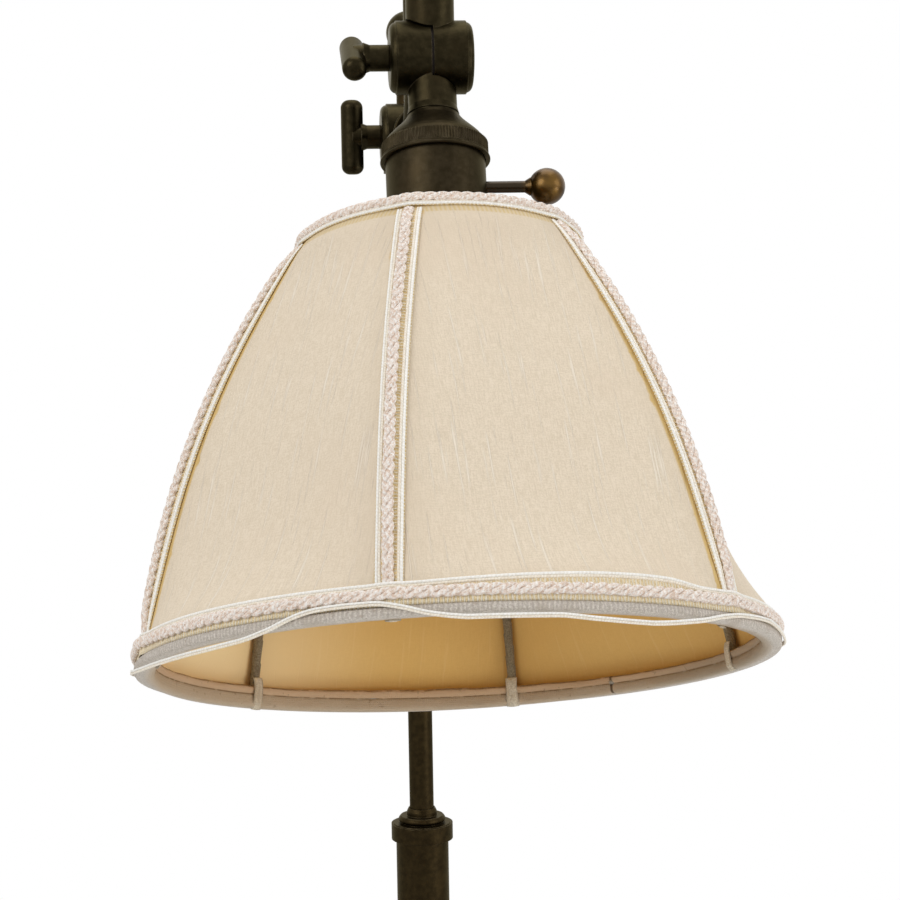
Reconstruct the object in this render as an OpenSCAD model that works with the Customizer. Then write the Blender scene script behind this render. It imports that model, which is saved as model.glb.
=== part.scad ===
// Student lamp: a weighted base, a column with a rod, a clamp that slides on the rod, a gooseneck arm
// between two friction knuckles, and a shell socket that carries a six-panel bell shade.
// Units are millimetres, +Z is up, the arm points along -Y and the origin is on the table under the rod.

/* [Base] */
// Diameter of the base
base_d = 190; // [150:1:240]
// Height of the straight rim of the base
rim_h = 11; // [7:0.5:16]
// Height of the base at its middle, where the column starts
base_h = 34; // [30:0.5:46]
// Wall of the spun base shell
base_wall = 1.6; // [1:0.1:3]
// Thickness of the felt under the base
felt_t = 2; // [1:0.5:4]
// Bore of the cord bushing in the base
inlet_bore = 5; // [4:0.5:6]

/* [Column and rod] */
// Diameter of the column tube
column_d = 20.6; // [17:0.1:26]
// Wall of the column tube
column_wall = 1.3; // [0.8:0.1:2]
// Length of the column tube
column_len = 155; // [100:1:260]
// Diameter of the widest ring of the column cap
cap_ring_d = 24.2; // [22:0.1:30]
// Diameter of the upright rod
rod_d = 9.5; // [7:0.1:12]
// Length of the rod above the column cap
rod_len = 292.5; // [220:0.5:400]
// Diameter of the ball finial
finial_d = 16.5; // [13:0.5:24]

/* [Clamp] */
// Height of the clamp knuckle above the table
clamp_z = 460.5; // [400:0.5:470]
// Distance of the clamp knuckle in front of the rod
clamp_reach = 24.5; // [23:0.5:32]
// Outer diameter of the collar that rides on the rod
collar_d = 20.4; // [19:0.2:23]
// Height of the collar
collar_h = 25; // [18:0.5:30]
// Wall of the sleeve between rod and collar
sleeve_wall = 1; // [0.6:0.1:1.6]

/* [Knuckles] */
// Diameter of the knuckle discs
knuckle_d = 24.4; // [22:0.1:30]
// Width over both knuckle discs
knuckle_w = 27.7; // [24:0.1:34]
// Rounding of the outer edges of the discs
knuckle_round = 2.4; // [1:0.1:4.5]
// Width of the clamp's half of the rear knuckle
clamp_half_w = 12.5; // [12:0.1:15]
// Thickness of the washer between the discs
washer_t = 0.8; // [0.5:0.1:1.5]
// Diameter of the knuckle necks
neck_d = 16.2; // [15:0.1:20]
// Length of the necks from the hinge axis
neck_len = 20.7; // [18:0.1:28]

/* [Thumb screws] */
// Length of the T-bar
bar_len = 27.5; // [20:0.5:36]
// Diameter of the T-bar
bar_d = 8.2; // [6:0.1:10]
// Diameter of the plain shaft between knuckle and bar
stem_d = 8.8; // [7:0.1:10]
// Diameter of the threaded shank
shank_d = 6; // [4:0.1:7]
// Visible length of the front shaft
front_stem = 7.8; // [6.4:0.1:14]
// Visible length of the rear and collar shafts
rear_stem = 6.4; // [6:0.1:14]
// Turn of the front T-bar at rest
front_bar_turn = 113; // [0:1:180]

/* [Arm] */
// Reach of the front knuckle from the rod
arm_reach = 107; // [100:0.5:160]
// Height of the front knuckle above the clamp knuckle
arm_rise = 21; // [0:0.5:30]
// Diameter of the arm tube
arm_d = 12.7; // [10:0.1:14]
// Wall of the arm tube
arm_wall = 1.2; // [0.8:0.1:2]
// Radius of the lower bend of the gooseneck
bend_r = 20; // [16:0.5:22]
// Length of the ferrule rings on the arm
ferrule_h = 3; // [2:0.1:5]
// Diameter of the ferrule rings
ferrule_d = 18.2; // [17.4:0.1:22]

/* [Head] */
// Tilt of the head at rest
head_tilt = 19.2; // [0:0.1:40]
// Diameter of the socket shell
shell_d = 33; // [32.6:0.1:38]
// Length of the socket shell below its cap
shell_len = 39.1; // [34:0.1:44]
// Wall of the socket shell
shell_wall = 0.7; // [0.5:0.1:1]
// Height of the socket cap, from the neck to its bead
cap_h = 14.3; // [13:0.1:22]
// Diameter of the socket cap at its bead
cap_d = 36.4; // [36:0.1:42]
// Height of the knurled band
knurl_h = 4.1; // [3:0.1:6]
// Number of teeth in the knurled band
knurl_count = 110; // [40:1:130]
// Diameter of the switch key
key_d = 3.9; // [3:0.1:5]
// Diameter of the ball on the key
key_ball_d = 12.2; // [9:0.1:16]
// Distance of the ball from the socket axis
key_reach = 36.5; // [30:0.5:50]

/* [Shade] */
// Diameter of the shade cover at the bottom
shade_bottom_d = 197.4; // [180:0.1:230]
// Diameter of the shade cover at the top
shade_top_d = 86.4; // [80:0.1:110]
// Height of the shade
shade_h = 138.3; // [130:0.1:160]
// Height of the shade's top edge above the ring that holds it on the socket
shade_rise = 9.1; // [8:0.1:12]
// Outward bow of each rib from a straight line
rib_bow = 10; // [4:0.5:16]
// Turn of the first rib from the front
rib_start = -75.4; // [-90:0.1:0]
// Thickness of the cover
cover_t = 0.7; // [0.6:0.1:1.5]
// Thickness of the lining
lining_t = 0.4; // [0.4:0.1:1]
// Diameter of the rib wires
wire_d = 2.4; // [2:0.1:2.8]
// Diameter of the ring wires
ring_wire_d = 2.9; // [2.9:0.1:3.6]
// Thickness of the tape around the wires
tape_t = 0.4; // [0.4:0.1:1.2]
// Width of the braid
braid_w = 7; // [6:0.1:10]
// Thickness of the braid
braid_t = 2.8; // [1.5:0.1:3]
// Diameter of the cord along the braid's lower edge
edge_cord_d = 1.3; // [1:0.1:2]
// How far that cord hangs down where its stitches have gone
cord_sag = 5.6; // [0:0.1:6]

/* [Bulb] */
// Diameter of the bulb glass
bulb_d = 50; // [40:1:58]
// Length of the bulb from its contact to its end
bulb_len = 96; // [85:1:108]

/* [Hidden] */
$fn = 64;

// Clearances: a sliding fit, a pin in its bore, pieces that only lie beside each other, and rubbing parts
fit = 0.05;
pin_fit = 0.06;
nest = 0.1;
running_gap = 0.5;

// Colours
bronze = "#4a3f30";
key_brass = "#7a5c38";
brass = "#b08d4a";
steel = "#8b8d8f";
cream = "#e2d6c2";
cord_white = "#efe9df";
amber = "#c8954f";
taupe = "#8f7f69";

// Column
column_r = column_d / 2;
column_z = base_h + 2;
column_top = column_z + column_len;
foot_h = 9;
cap_z = column_top - 4;
cap_ring_h = 6.8;
cap_step_h = 2.8;
cap_top_h = 3;
cap_step_d = 18.4;
cap_neck_d = 11.8;
cap_top_z = cap_z + cap_ring_h + cap_step_h + cap_top_h;
rod_r = rod_d / 2;
rod_tail_d = rod_d - 2;
rod_tail_len = cap_ring_h + cap_step_h + 9;
rod_top_z = cap_top_z + rod_len;
stud_d = 4;

// Clamp and knuckles
sleeve_bore = rod_d + 2 * fit;
sleeve_d = sleeve_bore + 2 * sleeve_wall;
collar_bore = sleeve_d + 2 * fit;
disc_r = knuckle_d / 2;
half_w = knuckle_w / 2;
half_gap = washer_t / 2;
neck_r = neck_d / 2;
shank_bore = shank_d + 2 * pin_fit;
shank_end = half_w - 3;
tube_seat = 7;
rear_pivot = [0, -clamp_reach, clamp_z];
front_pivot = [0, -arm_reach, clamp_z + arm_rise];

// Arm path, measured in front of the rod (out) and up
arm_start = clamp_reach + neck_len;
riser_out = arm_start + ferrule_h + 0.8 + bend_r;
riser_foot = clamp_z + bend_r;
arch_r = (arm_reach - riser_out) / 2;
arch_z = clamp_z + arm_rise + neck_len + ferrule_h + 4;
arm_r = arm_d / 2;
arm_bore = arm_d - 2 * arm_wall;
seat_d = arm_d + 2 * nest;

// Head stations, measured down from the front hinge axis
neck_end = neck_len;
cap_top = neck_end + 0.6;
cap_bottom = cap_top + cap_h;
bead_h = 2;
shell_top = cap_bottom - 1.4;
shell_bottom = cap_bottom + shell_len;
shell_r = shell_d / 2;
cap_r = cap_d / 2;
cap_wall = 1;
key_drop = cap_bottom + 10.7;
nipple_d = 9.6;
nipple_bore = 6.4;
nipple_seat = neck_len - disc_r - running_gap - 0.4;
sleeve_t = 0.6;
socket_sleeve_r = shell_r - shell_wall - nest;
body_r = socket_sleeve_r - sleeve_t - nest;
switch_block_h = 15;
body_top = cap_bottom + 3.1;
fitter_t = 1.6;
fitter_r = 21;
thread_len = 7;
thread_r = socket_sleeve_r - 0.4;
bulb_base_r = 13;
screw_shell_r = bulb_base_r + nest;
screw_shell_t = 0.45;
contact_drop = body_top + switch_block_h + 2.4;

// Shade stations in the head's frame, where z is measured up from the front hinge axis
shade_top_z = shade_rise - shell_bottom;
shade_bottom_z = shade_top_z - shade_h;
shade_bottom_r = shade_bottom_d / 2;
shade_top_r = shade_top_d / 2;
rib_count = 6;
// The six ribs were soldered by hand, so their spacing is a little uneven
rib_shift = [0, 0, 3.4, 0, -1, -2.4];
rib_turns = [for (k = [0 : rib_count - 1]) rib_start + 60 * k + rib_shift[k]];

// The bow of a rib is an arc through its bottom and top ends
chord = [shade_top_r - shade_bottom_r, shade_h];
chord_len = norm(chord);
bow_r = (chord_len * chord_len / 4 + rib_bow * rib_bow) / (2 * rib_bow);
bow_normal = [shade_h, -chord[0]] / chord_len;
bow_centre = [(shade_bottom_r + shade_top_r) / 2, shade_bottom_z + shade_h / 2] - bow_normal * (bow_r - rib_bow);
function bow_out(z, depth) =
    bow_centre[0] + sqrt((bow_r - depth) * (bow_r - depth) - (z - bow_centre[1]) * (z - bow_centre[1]));
function bow_angle(z, depth) = asin((z - bow_centre[1]) / (bow_r - depth));

tape_r = wire_d / 2 + tape_t;
ring_tape_r = ring_wire_d / 2 + tape_t;
lining_depth = cover_t + nest;
rib_depth = lining_depth + lining_t + nest + ring_tape_r;
ring_inset = 3.4;
bottom_ring_z = shade_bottom_z + ring_inset;
top_ring_z = shade_top_z - ring_inset;
bottom_ring_r = bow_out(bottom_ring_z, rib_depth);
top_ring_r = bow_out(top_ring_z, rib_depth);

// How round the shade is at a share t of its height: 1 beside the rings, almost flat panels in between
ring_zone = 0.066;
panel_roundness = 0.12;
function roundness(t) =
    panel_roundness + (1 - panel_roundness) * pow(min(1, abs(2 * t - 1) / (1 - 2 * ring_zone)), 4);

// A point of the shade at share t of its height and share s of the panel after rib k
function ring_point(r, turn) = [r * sin(turn), -r * cos(turn)];
function turn_after(k) = k == rib_count - 1 ? rib_turns[0] + 360 : rib_turns[k + 1];
function shade_point(t, k, s, depth) =
    let (z = shade_bottom_z + shade_h * t,
        r = bow_out(z, depth),
        flat = (1 - s) * ring_point(r, rib_turns[k]) + s * ring_point(r, turn_after(k)),
        round_point = ring_point(r, (1 - s) * rib_turns[k] + s * turn_after(k)),
        mixed = (1 - roundness(t)) * flat + roundness(t) * round_point)
    [mixed[0], mixed[1], z];

// Shares of the shade's height at which the skins and the rib braids have their stations. The first and
// last rows of facets are as high as the ring zones, so that they lie round the taped rings.
rows = 12;
function share(row) =
    row == 0 ? 0 : row == rows ? 1 : ring_zone + (1 - 2 * ring_zone) * (row - 1) / (rows - 2);

// A closed skin between two depths under the shade's outer surface
module shade_skin(outer_depth, skin_t) {
    columns = 10;
    around = rib_count * columns;
    layer = (rows + 1) * around;
    points = [for (depth = [outer_depth, outer_depth + skin_t], row = [0 : rows], k = [0 : rib_count - 1],
        column = [0 : columns - 1]) shade_point(share(row), k, column / columns, depth)];
    function at(side, row, i) = side * layer + row * around + i % around;
    outer = [for (row = [0 : rows - 1], i = [0 : around - 1])
        each [[at(0, row, i), at(0, row + 1, i), at(0, row + 1, i + 1)],
            [at(0, row, i), at(0, row + 1, i + 1), at(0, row, i + 1)]]];
    inner = [for (row = [0 : rows - 1], i = [0 : around - 1])
        each [[at(1, row, i), at(1, row + 1, i + 1), at(1, row + 1, i)],
            [at(1, row, i), at(1, row, i + 1), at(1, row + 1, i + 1)]]];
    rims = [for (i = [0 : around - 1])
        each [[at(0, 0, i), at(0, 0, i + 1), at(1, 0, i + 1)], [at(0, 0, i), at(1, 0, i + 1), at(1, 0, i)],
            [at(0, rows, i), at(1, rows, i + 1), at(0, rows, i + 1)],
            [at(0, rows, i), at(1, rows, i), at(1, rows, i + 1)]]];
    polyhedron(points, concat(outer, inner, rims), convexity = 10);
}

// A sweep of one section along stations, closed by two end faces or joined end to end
module sweep(rings, closed = false) {
    sides = len(rings[0]);
    count = len(rings);
    last = closed ? count - 1 : count - 2;
    walls = [for (i = [0 : last], j = [0 : sides - 1])
        let (a = i * sides + j, b = i * sides + (j + 1) % sides,
            c = ((i + 1) % count) * sides + (j + 1) % sides, d = ((i + 1) % count) * sides + j)
        each [[a, b, c], [a, c, d]]];
    ends = closed ? [] : concat([for (j = [1 : sides - 2]) [0, j + 1, j]],
        [for (j = [1 : sides - 2]) [(count - 1) * sides, (count - 1) * sides + j, (count - 1) * sides + j + 1]]);
    polyhedron([for (ring = rings) each ring], concat(walls, ends), convexity = 6);
}

module along_x() {
    rotate([0, 90, 0]) children();
}

module place_head() {
    translate(front_pivot) rotate([-head_tilt, 0, 0]) children();
}

module ring(outer_r, inner_r, h) {
    difference() {
        cylinder(r = outer_r, h = h);
        translate([0, 0, -1]) cylinder(r = inner_r, h = h + 2);
    }
}

module hex_nut(across, bore, h) {
    difference() {
        cylinder(d = across / cos(30), h = h, $fn = 6);
        translate([0, 0, -1]) cylinder(d = bore, h = h + 2);
    }
}

// Base

// Outline of the base shell from its foot to the column seat, as radius and height: a rounded rim, a
// tread with a small step, and a hollow sweep up to the seat. The inner face lies one wall inside it.
base_r = base_d / 2;
rim_round = 3.2;
rim_top = felt_t + rim_h;
step_r = base_r - 12;
step_h = 2.4;
sweep_r = step_r - 3;
seat_r = column_r + 4.6;
function base_outline(inset) = [
    [base_r - inset, felt_t],
    for (a = [0 : 30 : 90])
        [base_r - rim_round + (rim_round - inset) * cos(a), rim_top - rim_round + (rim_round - inset) * sin(a)],
    [step_r - inset, rim_top - inset],
    [step_r - inset, rim_top + step_h - inset],
    for (a = [0 : 11.25 : 90])
        [sweep_r - (sweep_r - seat_r) * sin(a) - inset, rim_top + step_h + (base_h - rim_top - step_h) * (1 - cos(a)) - inset]
];

bush_r = inlet_bore / 2 + 1;
inlet_z = felt_t + rim_h / 2 - 1;
module base_shell() {
    color(bronze) difference() {
        rotate_extrude($fn = 96)
            polygon(concat([[0, felt_t]], base_outline(0), [[0, base_h]]));
        rotate_extrude($fn = 96)
            polygon(concat([[0, felt_t - 1], [base_r - base_wall, felt_t - 1]], base_outline(base_wall),
                [[0, base_h - base_wall]]));
        translate([0, 0, base_h - base_wall - 1]) cylinder(d = nipple_d + 2 * nest, h = base_wall + 2);
        translate([0, base_r - 6, inlet_z]) rotate([-90, 0, 0]) cylinder(r = bush_r + nest, h = 10);
    }
}

weight_r = base_r - 5.6;
weight_top = rim_top - base_wall - 0.4;
washer_z = felt_t + 3;
base_nut_h = 5.6;
base_washer_t = 1.6;
module base_weight() {
    color("#3c3c3c") difference() {
        union() {
            translate([0, 0, felt_t]) cylinder(r = weight_r, h = weight_top - felt_t);
            translate([0, 0, weight_top - 1]) cylinder(r1 = sweep_r - 3, r2 = 0.55 * sweep_r, h = 4.4);
            translate([0, 0, felt_t]) cylinder(r = seat_r - 3, h = base_h - base_wall - nest - felt_t);
        }
        translate([0, 0, -1]) cylinder(d = nipple_d + 2 * nest, h = base_h);
        translate([0, 0, -1]) cylinder(r = 15, h = washer_z + base_nut_h + base_washer_t + 1);
        translate([-5, 0, felt_t - 1]) cube([10, base_d, rim_h - 2.5]);
    }
}

module base_felt() {
    color("#2f3b2f") cylinder(d = base_d - 3, h = felt_t);
}

module cord_bushing() {
    flange_t = 1.3;
    inner_y = base_r - base_wall - 0.2 - flange_t;
    barrel_len = base_r - inner_y;
    color("#262220") translate([0, inner_y, inlet_z]) rotate([-90, 0, 0]) difference() {
        union() {
            cylinder(r = bush_r + 0.5, h = flange_t);
            cylinder(r = bush_r, h = barrel_len + flange_t);
            translate([0, 0, barrel_len]) cylinder(r = bush_r + 0.5, h = flange_t);
        }
        translate([0, 0, -1]) cylinder(d = inlet_bore, h = 9);
    }
}

nipple_top = column_z + 14;
module base_nipple() {
    color(brass) translate([0, 0, washer_z - 1]) ring(nipple_d / 2, nipple_bore / 2, nipple_top - washer_z + 1);
}

module base_washer() {
    color(steel) translate([0, 0, washer_z + base_nut_h]) ring(12.5, nipple_d / 2 + nest, base_washer_t);
}

module base_nut() {
    color(brass) translate([0, 0, washer_z]) hex_nut(15, nipple_d + 2 * fit, base_nut_h);
}

// Column and rod

module column_foot() {
    color(bronze) translate([0, 0, base_h]) difference() {
        rotate_extrude() union() {
            square([column_r + 3.4, 3]);
            translate([column_r + 3.4, 1.5]) circle(r = 1.5);
            square([column_r + 2, foot_h - 1.2]);
            translate([0, foot_h - 1.2]) square([column_r + 1.2, 1.2]);
            translate([column_r + 1.6, 5.4]) circle(r = 1.1);
        }
        translate([0, 0, column_z - base_h]) cylinder(r = column_r + nest, h = foot_h);
        translate([0, 0, -1]) cylinder(d = nipple_d + 2 * fit, h = foot_h);
    }
}

module column_tube() {
    color(bronze) translate([0, 0, column_z]) difference() {
        cylinder(d = column_d, h = column_len);
        translate([0, 0, -1]) cylinder(r = column_r - column_wall, h = column_len + 2);
    }
    color(brass) translate([0, 0, column_z]) difference() {
        cylinder(r = column_r - column_wall, h = 12);
        translate([0, 0, -1]) cylinder(d = nipple_d + 2 * fit, h = 15);
    }
}

module column_cap() {
    lip = 1.2;
    crown = (cap_ring_d - column_d) / 2 - 0.6;
    color(bronze) translate([0, 0, cap_z]) difference() {
        rotate_extrude() union() {
            square([column_r + 0.9, cap_ring_h]);
            translate([0, lip]) square([cap_ring_d / 2 - 1, cap_ring_h - 2 * lip]);
            translate([cap_ring_d / 2 - crown, cap_ring_h / 2]) intersection() {
                circle(r = cap_ring_h / 2);
                translate([-cap_ring_h, -cap_ring_h / 2 + 0.3]) square([cap_ring_h + crown, cap_ring_h - 0.6]);
            }
            square([cap_step_d / 2 - 0.8, cap_ring_h + cap_step_h]);
            translate([cap_step_d / 2 - 1.4, cap_ring_h + cap_step_h / 2]) circle(r = cap_step_h / 2);
            polygon([[0, 0], [cap_neck_d / 2, 0], [cap_neck_d / 2, cap_ring_h + cap_step_h + 1.6],
                [rod_r + 0.5, cap_ring_h + cap_step_h + cap_top_h], [0, cap_ring_h + cap_step_h + cap_top_h]]);
        }
        translate([0, 0, -1]) cylinder(r = column_r + fit, h = column_top - cap_z + 1);
        cylinder(d = rod_tail_d + 2 * fit, h = cap_top_z - cap_z + 1);
        translate([0, 0, cap_ring_h + cap_step_h]) cylinder(d = rod_d + 2 * fit, h = cap_top_h + 1);
    }
}

module upright_rod() {
    shoulder_z = cap_z + cap_ring_h + cap_step_h;
    color(bronze) difference() {
        union() {
            translate([0, 0, shoulder_z]) cylinder(d = rod_d, h = rod_top_z - shoulder_z);
            translate([0, 0, shoulder_z - rod_tail_len]) cylinder(d = rod_tail_d, h = rod_tail_len + 1);
        }
        translate([0, 0, rod_top_z - 9]) cylinder(d = stud_d + 2 * fit, h = 10);
    }
}

module rod_washer() {
    color(steel) translate([0, 0, column_top - 1.4])
        ring(column_r - column_wall - 0.3, rod_tail_d / 2 + nest, 1.4);
}

module rod_nut() {
    color(brass) translate([0, 0, column_top - 1.4 - 5]) hex_nut(13, rod_tail_d + 2 * fit, 5);
}

module ball_finial() {
    ball_r = finial_d / 2;
    neck_h = 1.6;
    color(bronze) translate([0, 0, rod_top_z]) union() {
        translate([0, 0, neck_h + ball_r - 0.6]) sphere(r = ball_r, $fn = 64);
        cylinder(r = rod_r - 0.7, h = neck_h + 1);
        translate([0, 0, -8]) cylinder(d = stud_d, h = 9);
    }
}

// Knuckles

// One half of a knuckle on side -1 or 1 of the middle plane, w wide, with its neck along +Z. A turned hub,
// a little smaller than the disc, forms its outer end.
hub_step = 0.5;
edge_r = 0.4;
module knuckle_half(side, w = half_w) {
    hub_r = disc_r - hub_step;
    hub_start = w - knuckle_round;
    difference() {
        union() {
            along_x() rotate_extrude() mirror([0, side < 0 ? 1 : 0]) union() {
                translate([0, half_gap]) square([disc_r, hub_start - half_gap]);
                translate([disc_r - edge_r, hub_start]) circle(r = edge_r);
                translate([0, half_gap]) square([hub_r - knuckle_round, w - half_gap]);
                translate([hub_r - knuckle_round, hub_start]) circle(r = knuckle_round);
            }
            cylinder(d = neck_d, h = neck_len);
        }
        translate([side > 0 ? -half_w - 1 : -half_gap, 0, 0]) along_x()
            cylinder(r = disc_r + running_gap, h = half_w + half_gap + 1);
    }
}

// Through hole in a left half, blind threaded hole in a right half
module shank_hole(side) {
    translate([side < 0 ? -half_w - 1 : -1, 0, 0]) along_x()
        cylinder(d = shank_bore, h = side < 0 ? half_w + 2 : shank_end + 1 + nest);
}

module knuckle_washer() {
    translate([-half_gap, 0, 0]) along_x() ring(disc_r - 1, shank_bore / 2, washer_t);
}

// T-handled screw along X: its shank starts at the left face of the knuckle and ends in the right half
module thumb_screw(stem_len, shank_len, bar_turn) {
    bar_x = -stem_len - bar_d / 2;
    bar_round = bar_d / 2 - 1.1;
    rotate([bar_turn, 0, 0]) union() {
        along_x() cylinder(d = shank_d, h = shank_len);
        translate([bar_x, 0, 0]) along_x() cylinder(d = stem_d, h = -bar_x);
        translate([-stem_len - 0.8, 0, 0]) along_x() cylinder(d1 = stem_d + 1.6, d2 = stem_d, h = 2.2);
        translate([bar_x, 0, 0]) rotate_extrude() intersection() {
            translate([0, -bar_len / 2]) square([bar_d / 2, bar_len]);
            union() {
                translate([0, -bar_len / 2]) square([bar_d / 2 - bar_round, bar_len]);
                translate([0, -bar_len / 2 + bar_round]) square([bar_d / 2, bar_len - 2 * bar_round]);
                for (end = [-1, 1])
                    translate([bar_d / 2 - bar_round, end * (bar_len / 2 - bar_round)]) circle(r = bar_round);
            }
        }
    }
}

module clamp_sleeve() {
    color("#d8d2c0") translate([0, 0, clamp_z - collar_h / 2])
        ring(sleeve_d / 2, sleeve_bore / 2, collar_h);
}

module rod_clamp() {
    color(bronze) difference() {
        union() {
            translate(rear_pivot) rotate([-90, 0, 0]) intersection() {
                knuckle_half(-1, clamp_half_w);
                translate([-half_w - 1, -disc_r - 1, -disc_r - 1]) cube([knuckle_w, 2 * disc_r + 2,
                    disc_r + clamp_reach + 1]);
            }
            translate([0, 0, clamp_z - collar_h / 2]) cylinder(d = collar_d, h = collar_h);
            translate([0, collar_d / 2 - 2, clamp_z]) rotate([-90, 0, 0]) cylinder(d = stem_d + 3, h = 3);
        }
        translate([0, 0, clamp_z - collar_h]) cylinder(d = collar_bore, h = 2 * collar_h);
        translate(rear_pivot) shank_hole(-1);
        translate([0, 0, clamp_z]) rotate([-90, 0, 0]) cylinder(d = shank_bore, h = collar_d);
    }
}

module collar_thumb_screw() {
    face = collar_d / 2 + 1 + nest;
    color(bronze) translate([0, face, clamp_z]) rotate([0, 0, -90])
        thumb_screw(rear_stem, face - sleeve_d / 2 - 2 * nest, 0);
}

// Right half of the rear knuckle, whose neck points forward
module rear_knuckle() {
    color(bronze) translate(rear_pivot) difference() {
        rotate([90, 0, 0]) difference() {
            knuckle_half(1);
            translate([0, 0, neck_len - tube_seat]) cylinder(d = seat_d, h = tube_seat + 1);
        }
        shank_hole(1);
    }
}

module rear_washer() {
    color("#1d1b19") translate(rear_pivot) knuckle_washer();
}

module front_knuckle() {
    color(bronze) translate(front_pivot) difference() {
        knuckle_half(1);
        translate([0, 0, neck_len - tube_seat]) cylinder(d = seat_d, h = tube_seat + 1);
        shank_hole(1);
    }
}

module front_washer() {
    color("#1d1b19") translate(front_pivot) knuckle_washer();
}

module rear_thumb_screw() {
    color(bronze) translate(rear_pivot) translate([-clamp_half_w - nest, 0, 0])
        thumb_screw(rear_stem, clamp_half_w + nest + shank_end, 0);
}

module front_thumb_screw() {
    color(bronze) translate(front_pivot) translate([-half_w - nest, 0, 0])
        thumb_screw(front_stem, half_w + nest + shank_end, front_bar_turn);
}

// Arm

// Bent or straight stretches of the arm as a round bar of diameter d
module arm_path(d) {
    start_y = -(arm_start - tube_seat);
    bend_y = -(riser_out - bend_r);
    translate([0, start_y, clamp_z]) rotate([90, 0, 0]) cylinder(d = d, h = start_y - bend_y);
    translate([0, bend_y, riser_foot]) rotate([0, 90, 0]) rotate([0, 0, -90])
        rotate_extrude(angle = 90) translate([bend_r, 0]) circle(d = d);
    translate([0, -riser_out, riser_foot]) cylinder(d = d, h = arch_z - riser_foot);
    translate([0, -riser_out - arch_r, arch_z]) rotate([0, 90, 0]) rotate([0, 0, 90])
        rotate_extrude(angle = 180) translate([arch_r, 0]) circle(d = d);
    translate([0, -arm_reach, front_pivot[2] + neck_len - tube_seat])
        cylinder(d = d, h = arch_z - front_pivot[2] - neck_len + tube_seat);
}

module arm_tube() {
    color(bronze) difference() {
        arm_path(arm_d);
        arm_path(arm_bore);
        translate([0, -(arm_start - tube_seat) + 1, clamp_z]) rotate([90, 0, 0]) cylinder(d = arm_bore, h = 2);
        translate([0, -arm_reach, front_pivot[2] + neck_len - tube_seat - 1]) cylinder(d = arm_bore, h = 2);
    }
}

module ferrule() {
    color(bronze) difference() {
        rotate_extrude() union() {
            square([ferrule_d / 2 - 0.8, ferrule_h]);
            translate([0, 0.8]) square([ferrule_d / 2, ferrule_h - 1.6]);
            for (z = [0.8, ferrule_h - 0.8]) translate([ferrule_d / 2 - 0.8, z]) circle(r = 0.8);
        }
        translate([0, 0, -1]) cylinder(d = seat_d, h = ferrule_h + 2);
    }
}

module rear_ferrule() {
    translate([0, -arm_start, clamp_z]) rotate([90, 0, 0]) ferrule();
}

module front_ferrule() {
    translate(front_pivot) translate([0, 0, neck_len]) ferrule();
}

// Head

module head_knuckle() {
    color(bronze) place_head() difference() {
        rotate([180, 0, 0]) difference() {
            union() {
                knuckle_half(-1);
                translate([0, 0, neck_len - 2.4]) cylinder(d1 = neck_d, d2 = neck_d + 1.2, h = 2.4);
            }
            translate([0, 0, neck_len - nipple_seat]) cylinder(d = nipple_d + 2 * fit, h = nipple_seat + 1);
        }
        shank_hole(-1);
    }
}

module neck_ring() {
    color(bronze) place_head() translate([0, 0, -cap_top]) difference() {
        cylinder(d = neck_d + 0.4, h = cap_top - neck_end);
        translate([0, 0, -1]) cylinder(d = nipple_d + 2 * nest, h = 3);
    }
}

nut_h = 3.4;
module neck_nipple() {
    color(brass) place_head() translate([0, 0, -cap_top - cap_wall - nut_h])
        ring(nipple_d / 2, nipple_bore / 2, cap_top + cap_wall + nut_h - neck_end + nipple_seat - 0.2);
}

module nipple_nut() {
    color(brass) place_head() translate([0, 0, -cap_top - cap_wall - nut_h])
        hex_nut(12.6, nipple_d + 2 * fit, nut_h);
}

// Bell of the socket cap, as radius and distance below its top, for a wall's outer or inner face. It is
// between a cone and an S-curve, and ends just inside the bottoms of the knurling's grooves.
knurl_r = cap_r - 0.5;
knurl_depth = 0.35;
bell_top_r = neck_r + 0.6;
bell_r = knurl_r - knurl_depth - 0.15;
function cap_bell(inset) = [
    for (t = [0 : 0.125 : 1])
        [bell_top_r + (bell_r - bell_top_r) * (t + t * t * (3 - 2 * t)) / 2 - inset, (cap_h - knurl_h) * t]
];

module socket_cap() {
    bell = cap_bell(0);
    under = cap_bell(cap_wall);
    color(bronze) place_head() difference() {
        union() {
            translate([0, 0, -cap_top]) mirror([0, 0, 1]) rotate_extrude()
                polygon(concat([[0, 0]], bell, [[0, cap_h - knurl_h]]));
            translate([0, 0, -cap_bottom]) linear_extrude(knurl_h + 0.1) polygon([
                for (i = [0 : 2 * knurl_count - 1])
                    let (a = 180 * i / knurl_count, r = knurl_r - (i % 2 == 0 ? 0 : knurl_depth)) [r * cos(a), r * sin(a)]
            ]);
            translate([0, 0, -cap_bottom - bead_h]) rotate_extrude() union() {
                square([cap_r - 0.9, bead_h]);
                square([cap_r - 0.6, 1.2]);
                translate([cap_r - 0.6, 0.6]) circle(r = 0.6);
                translate([cap_r - 0.9, bead_h - 0.4]) circle(r = 0.4);
            }
        }
        translate([0, 0, -cap_top - cap_wall]) mirror([0, 0, 1]) rotate_extrude()
            polygon(concat([[0, 0]], under, [[shell_r + nest, cap_h - knurl_h], [shell_r + nest, cap_h + 9],
                [0, cap_h + 9]]));
        translate([0, 0, -cap_top - 2]) cylinder(d = nipple_d + 2 * nest, h = 4);
    }
}

module socket_shell() {
    color(bronze) place_head() difference() {
        translate([0, 0, -shell_bottom]) ring(shell_r, shell_r - shell_wall, shell_bottom - shell_top);
        translate([0, 0, -key_drop]) along_x() cylinder(d = key_d + 1, h = cap_d);
    }
}

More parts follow.
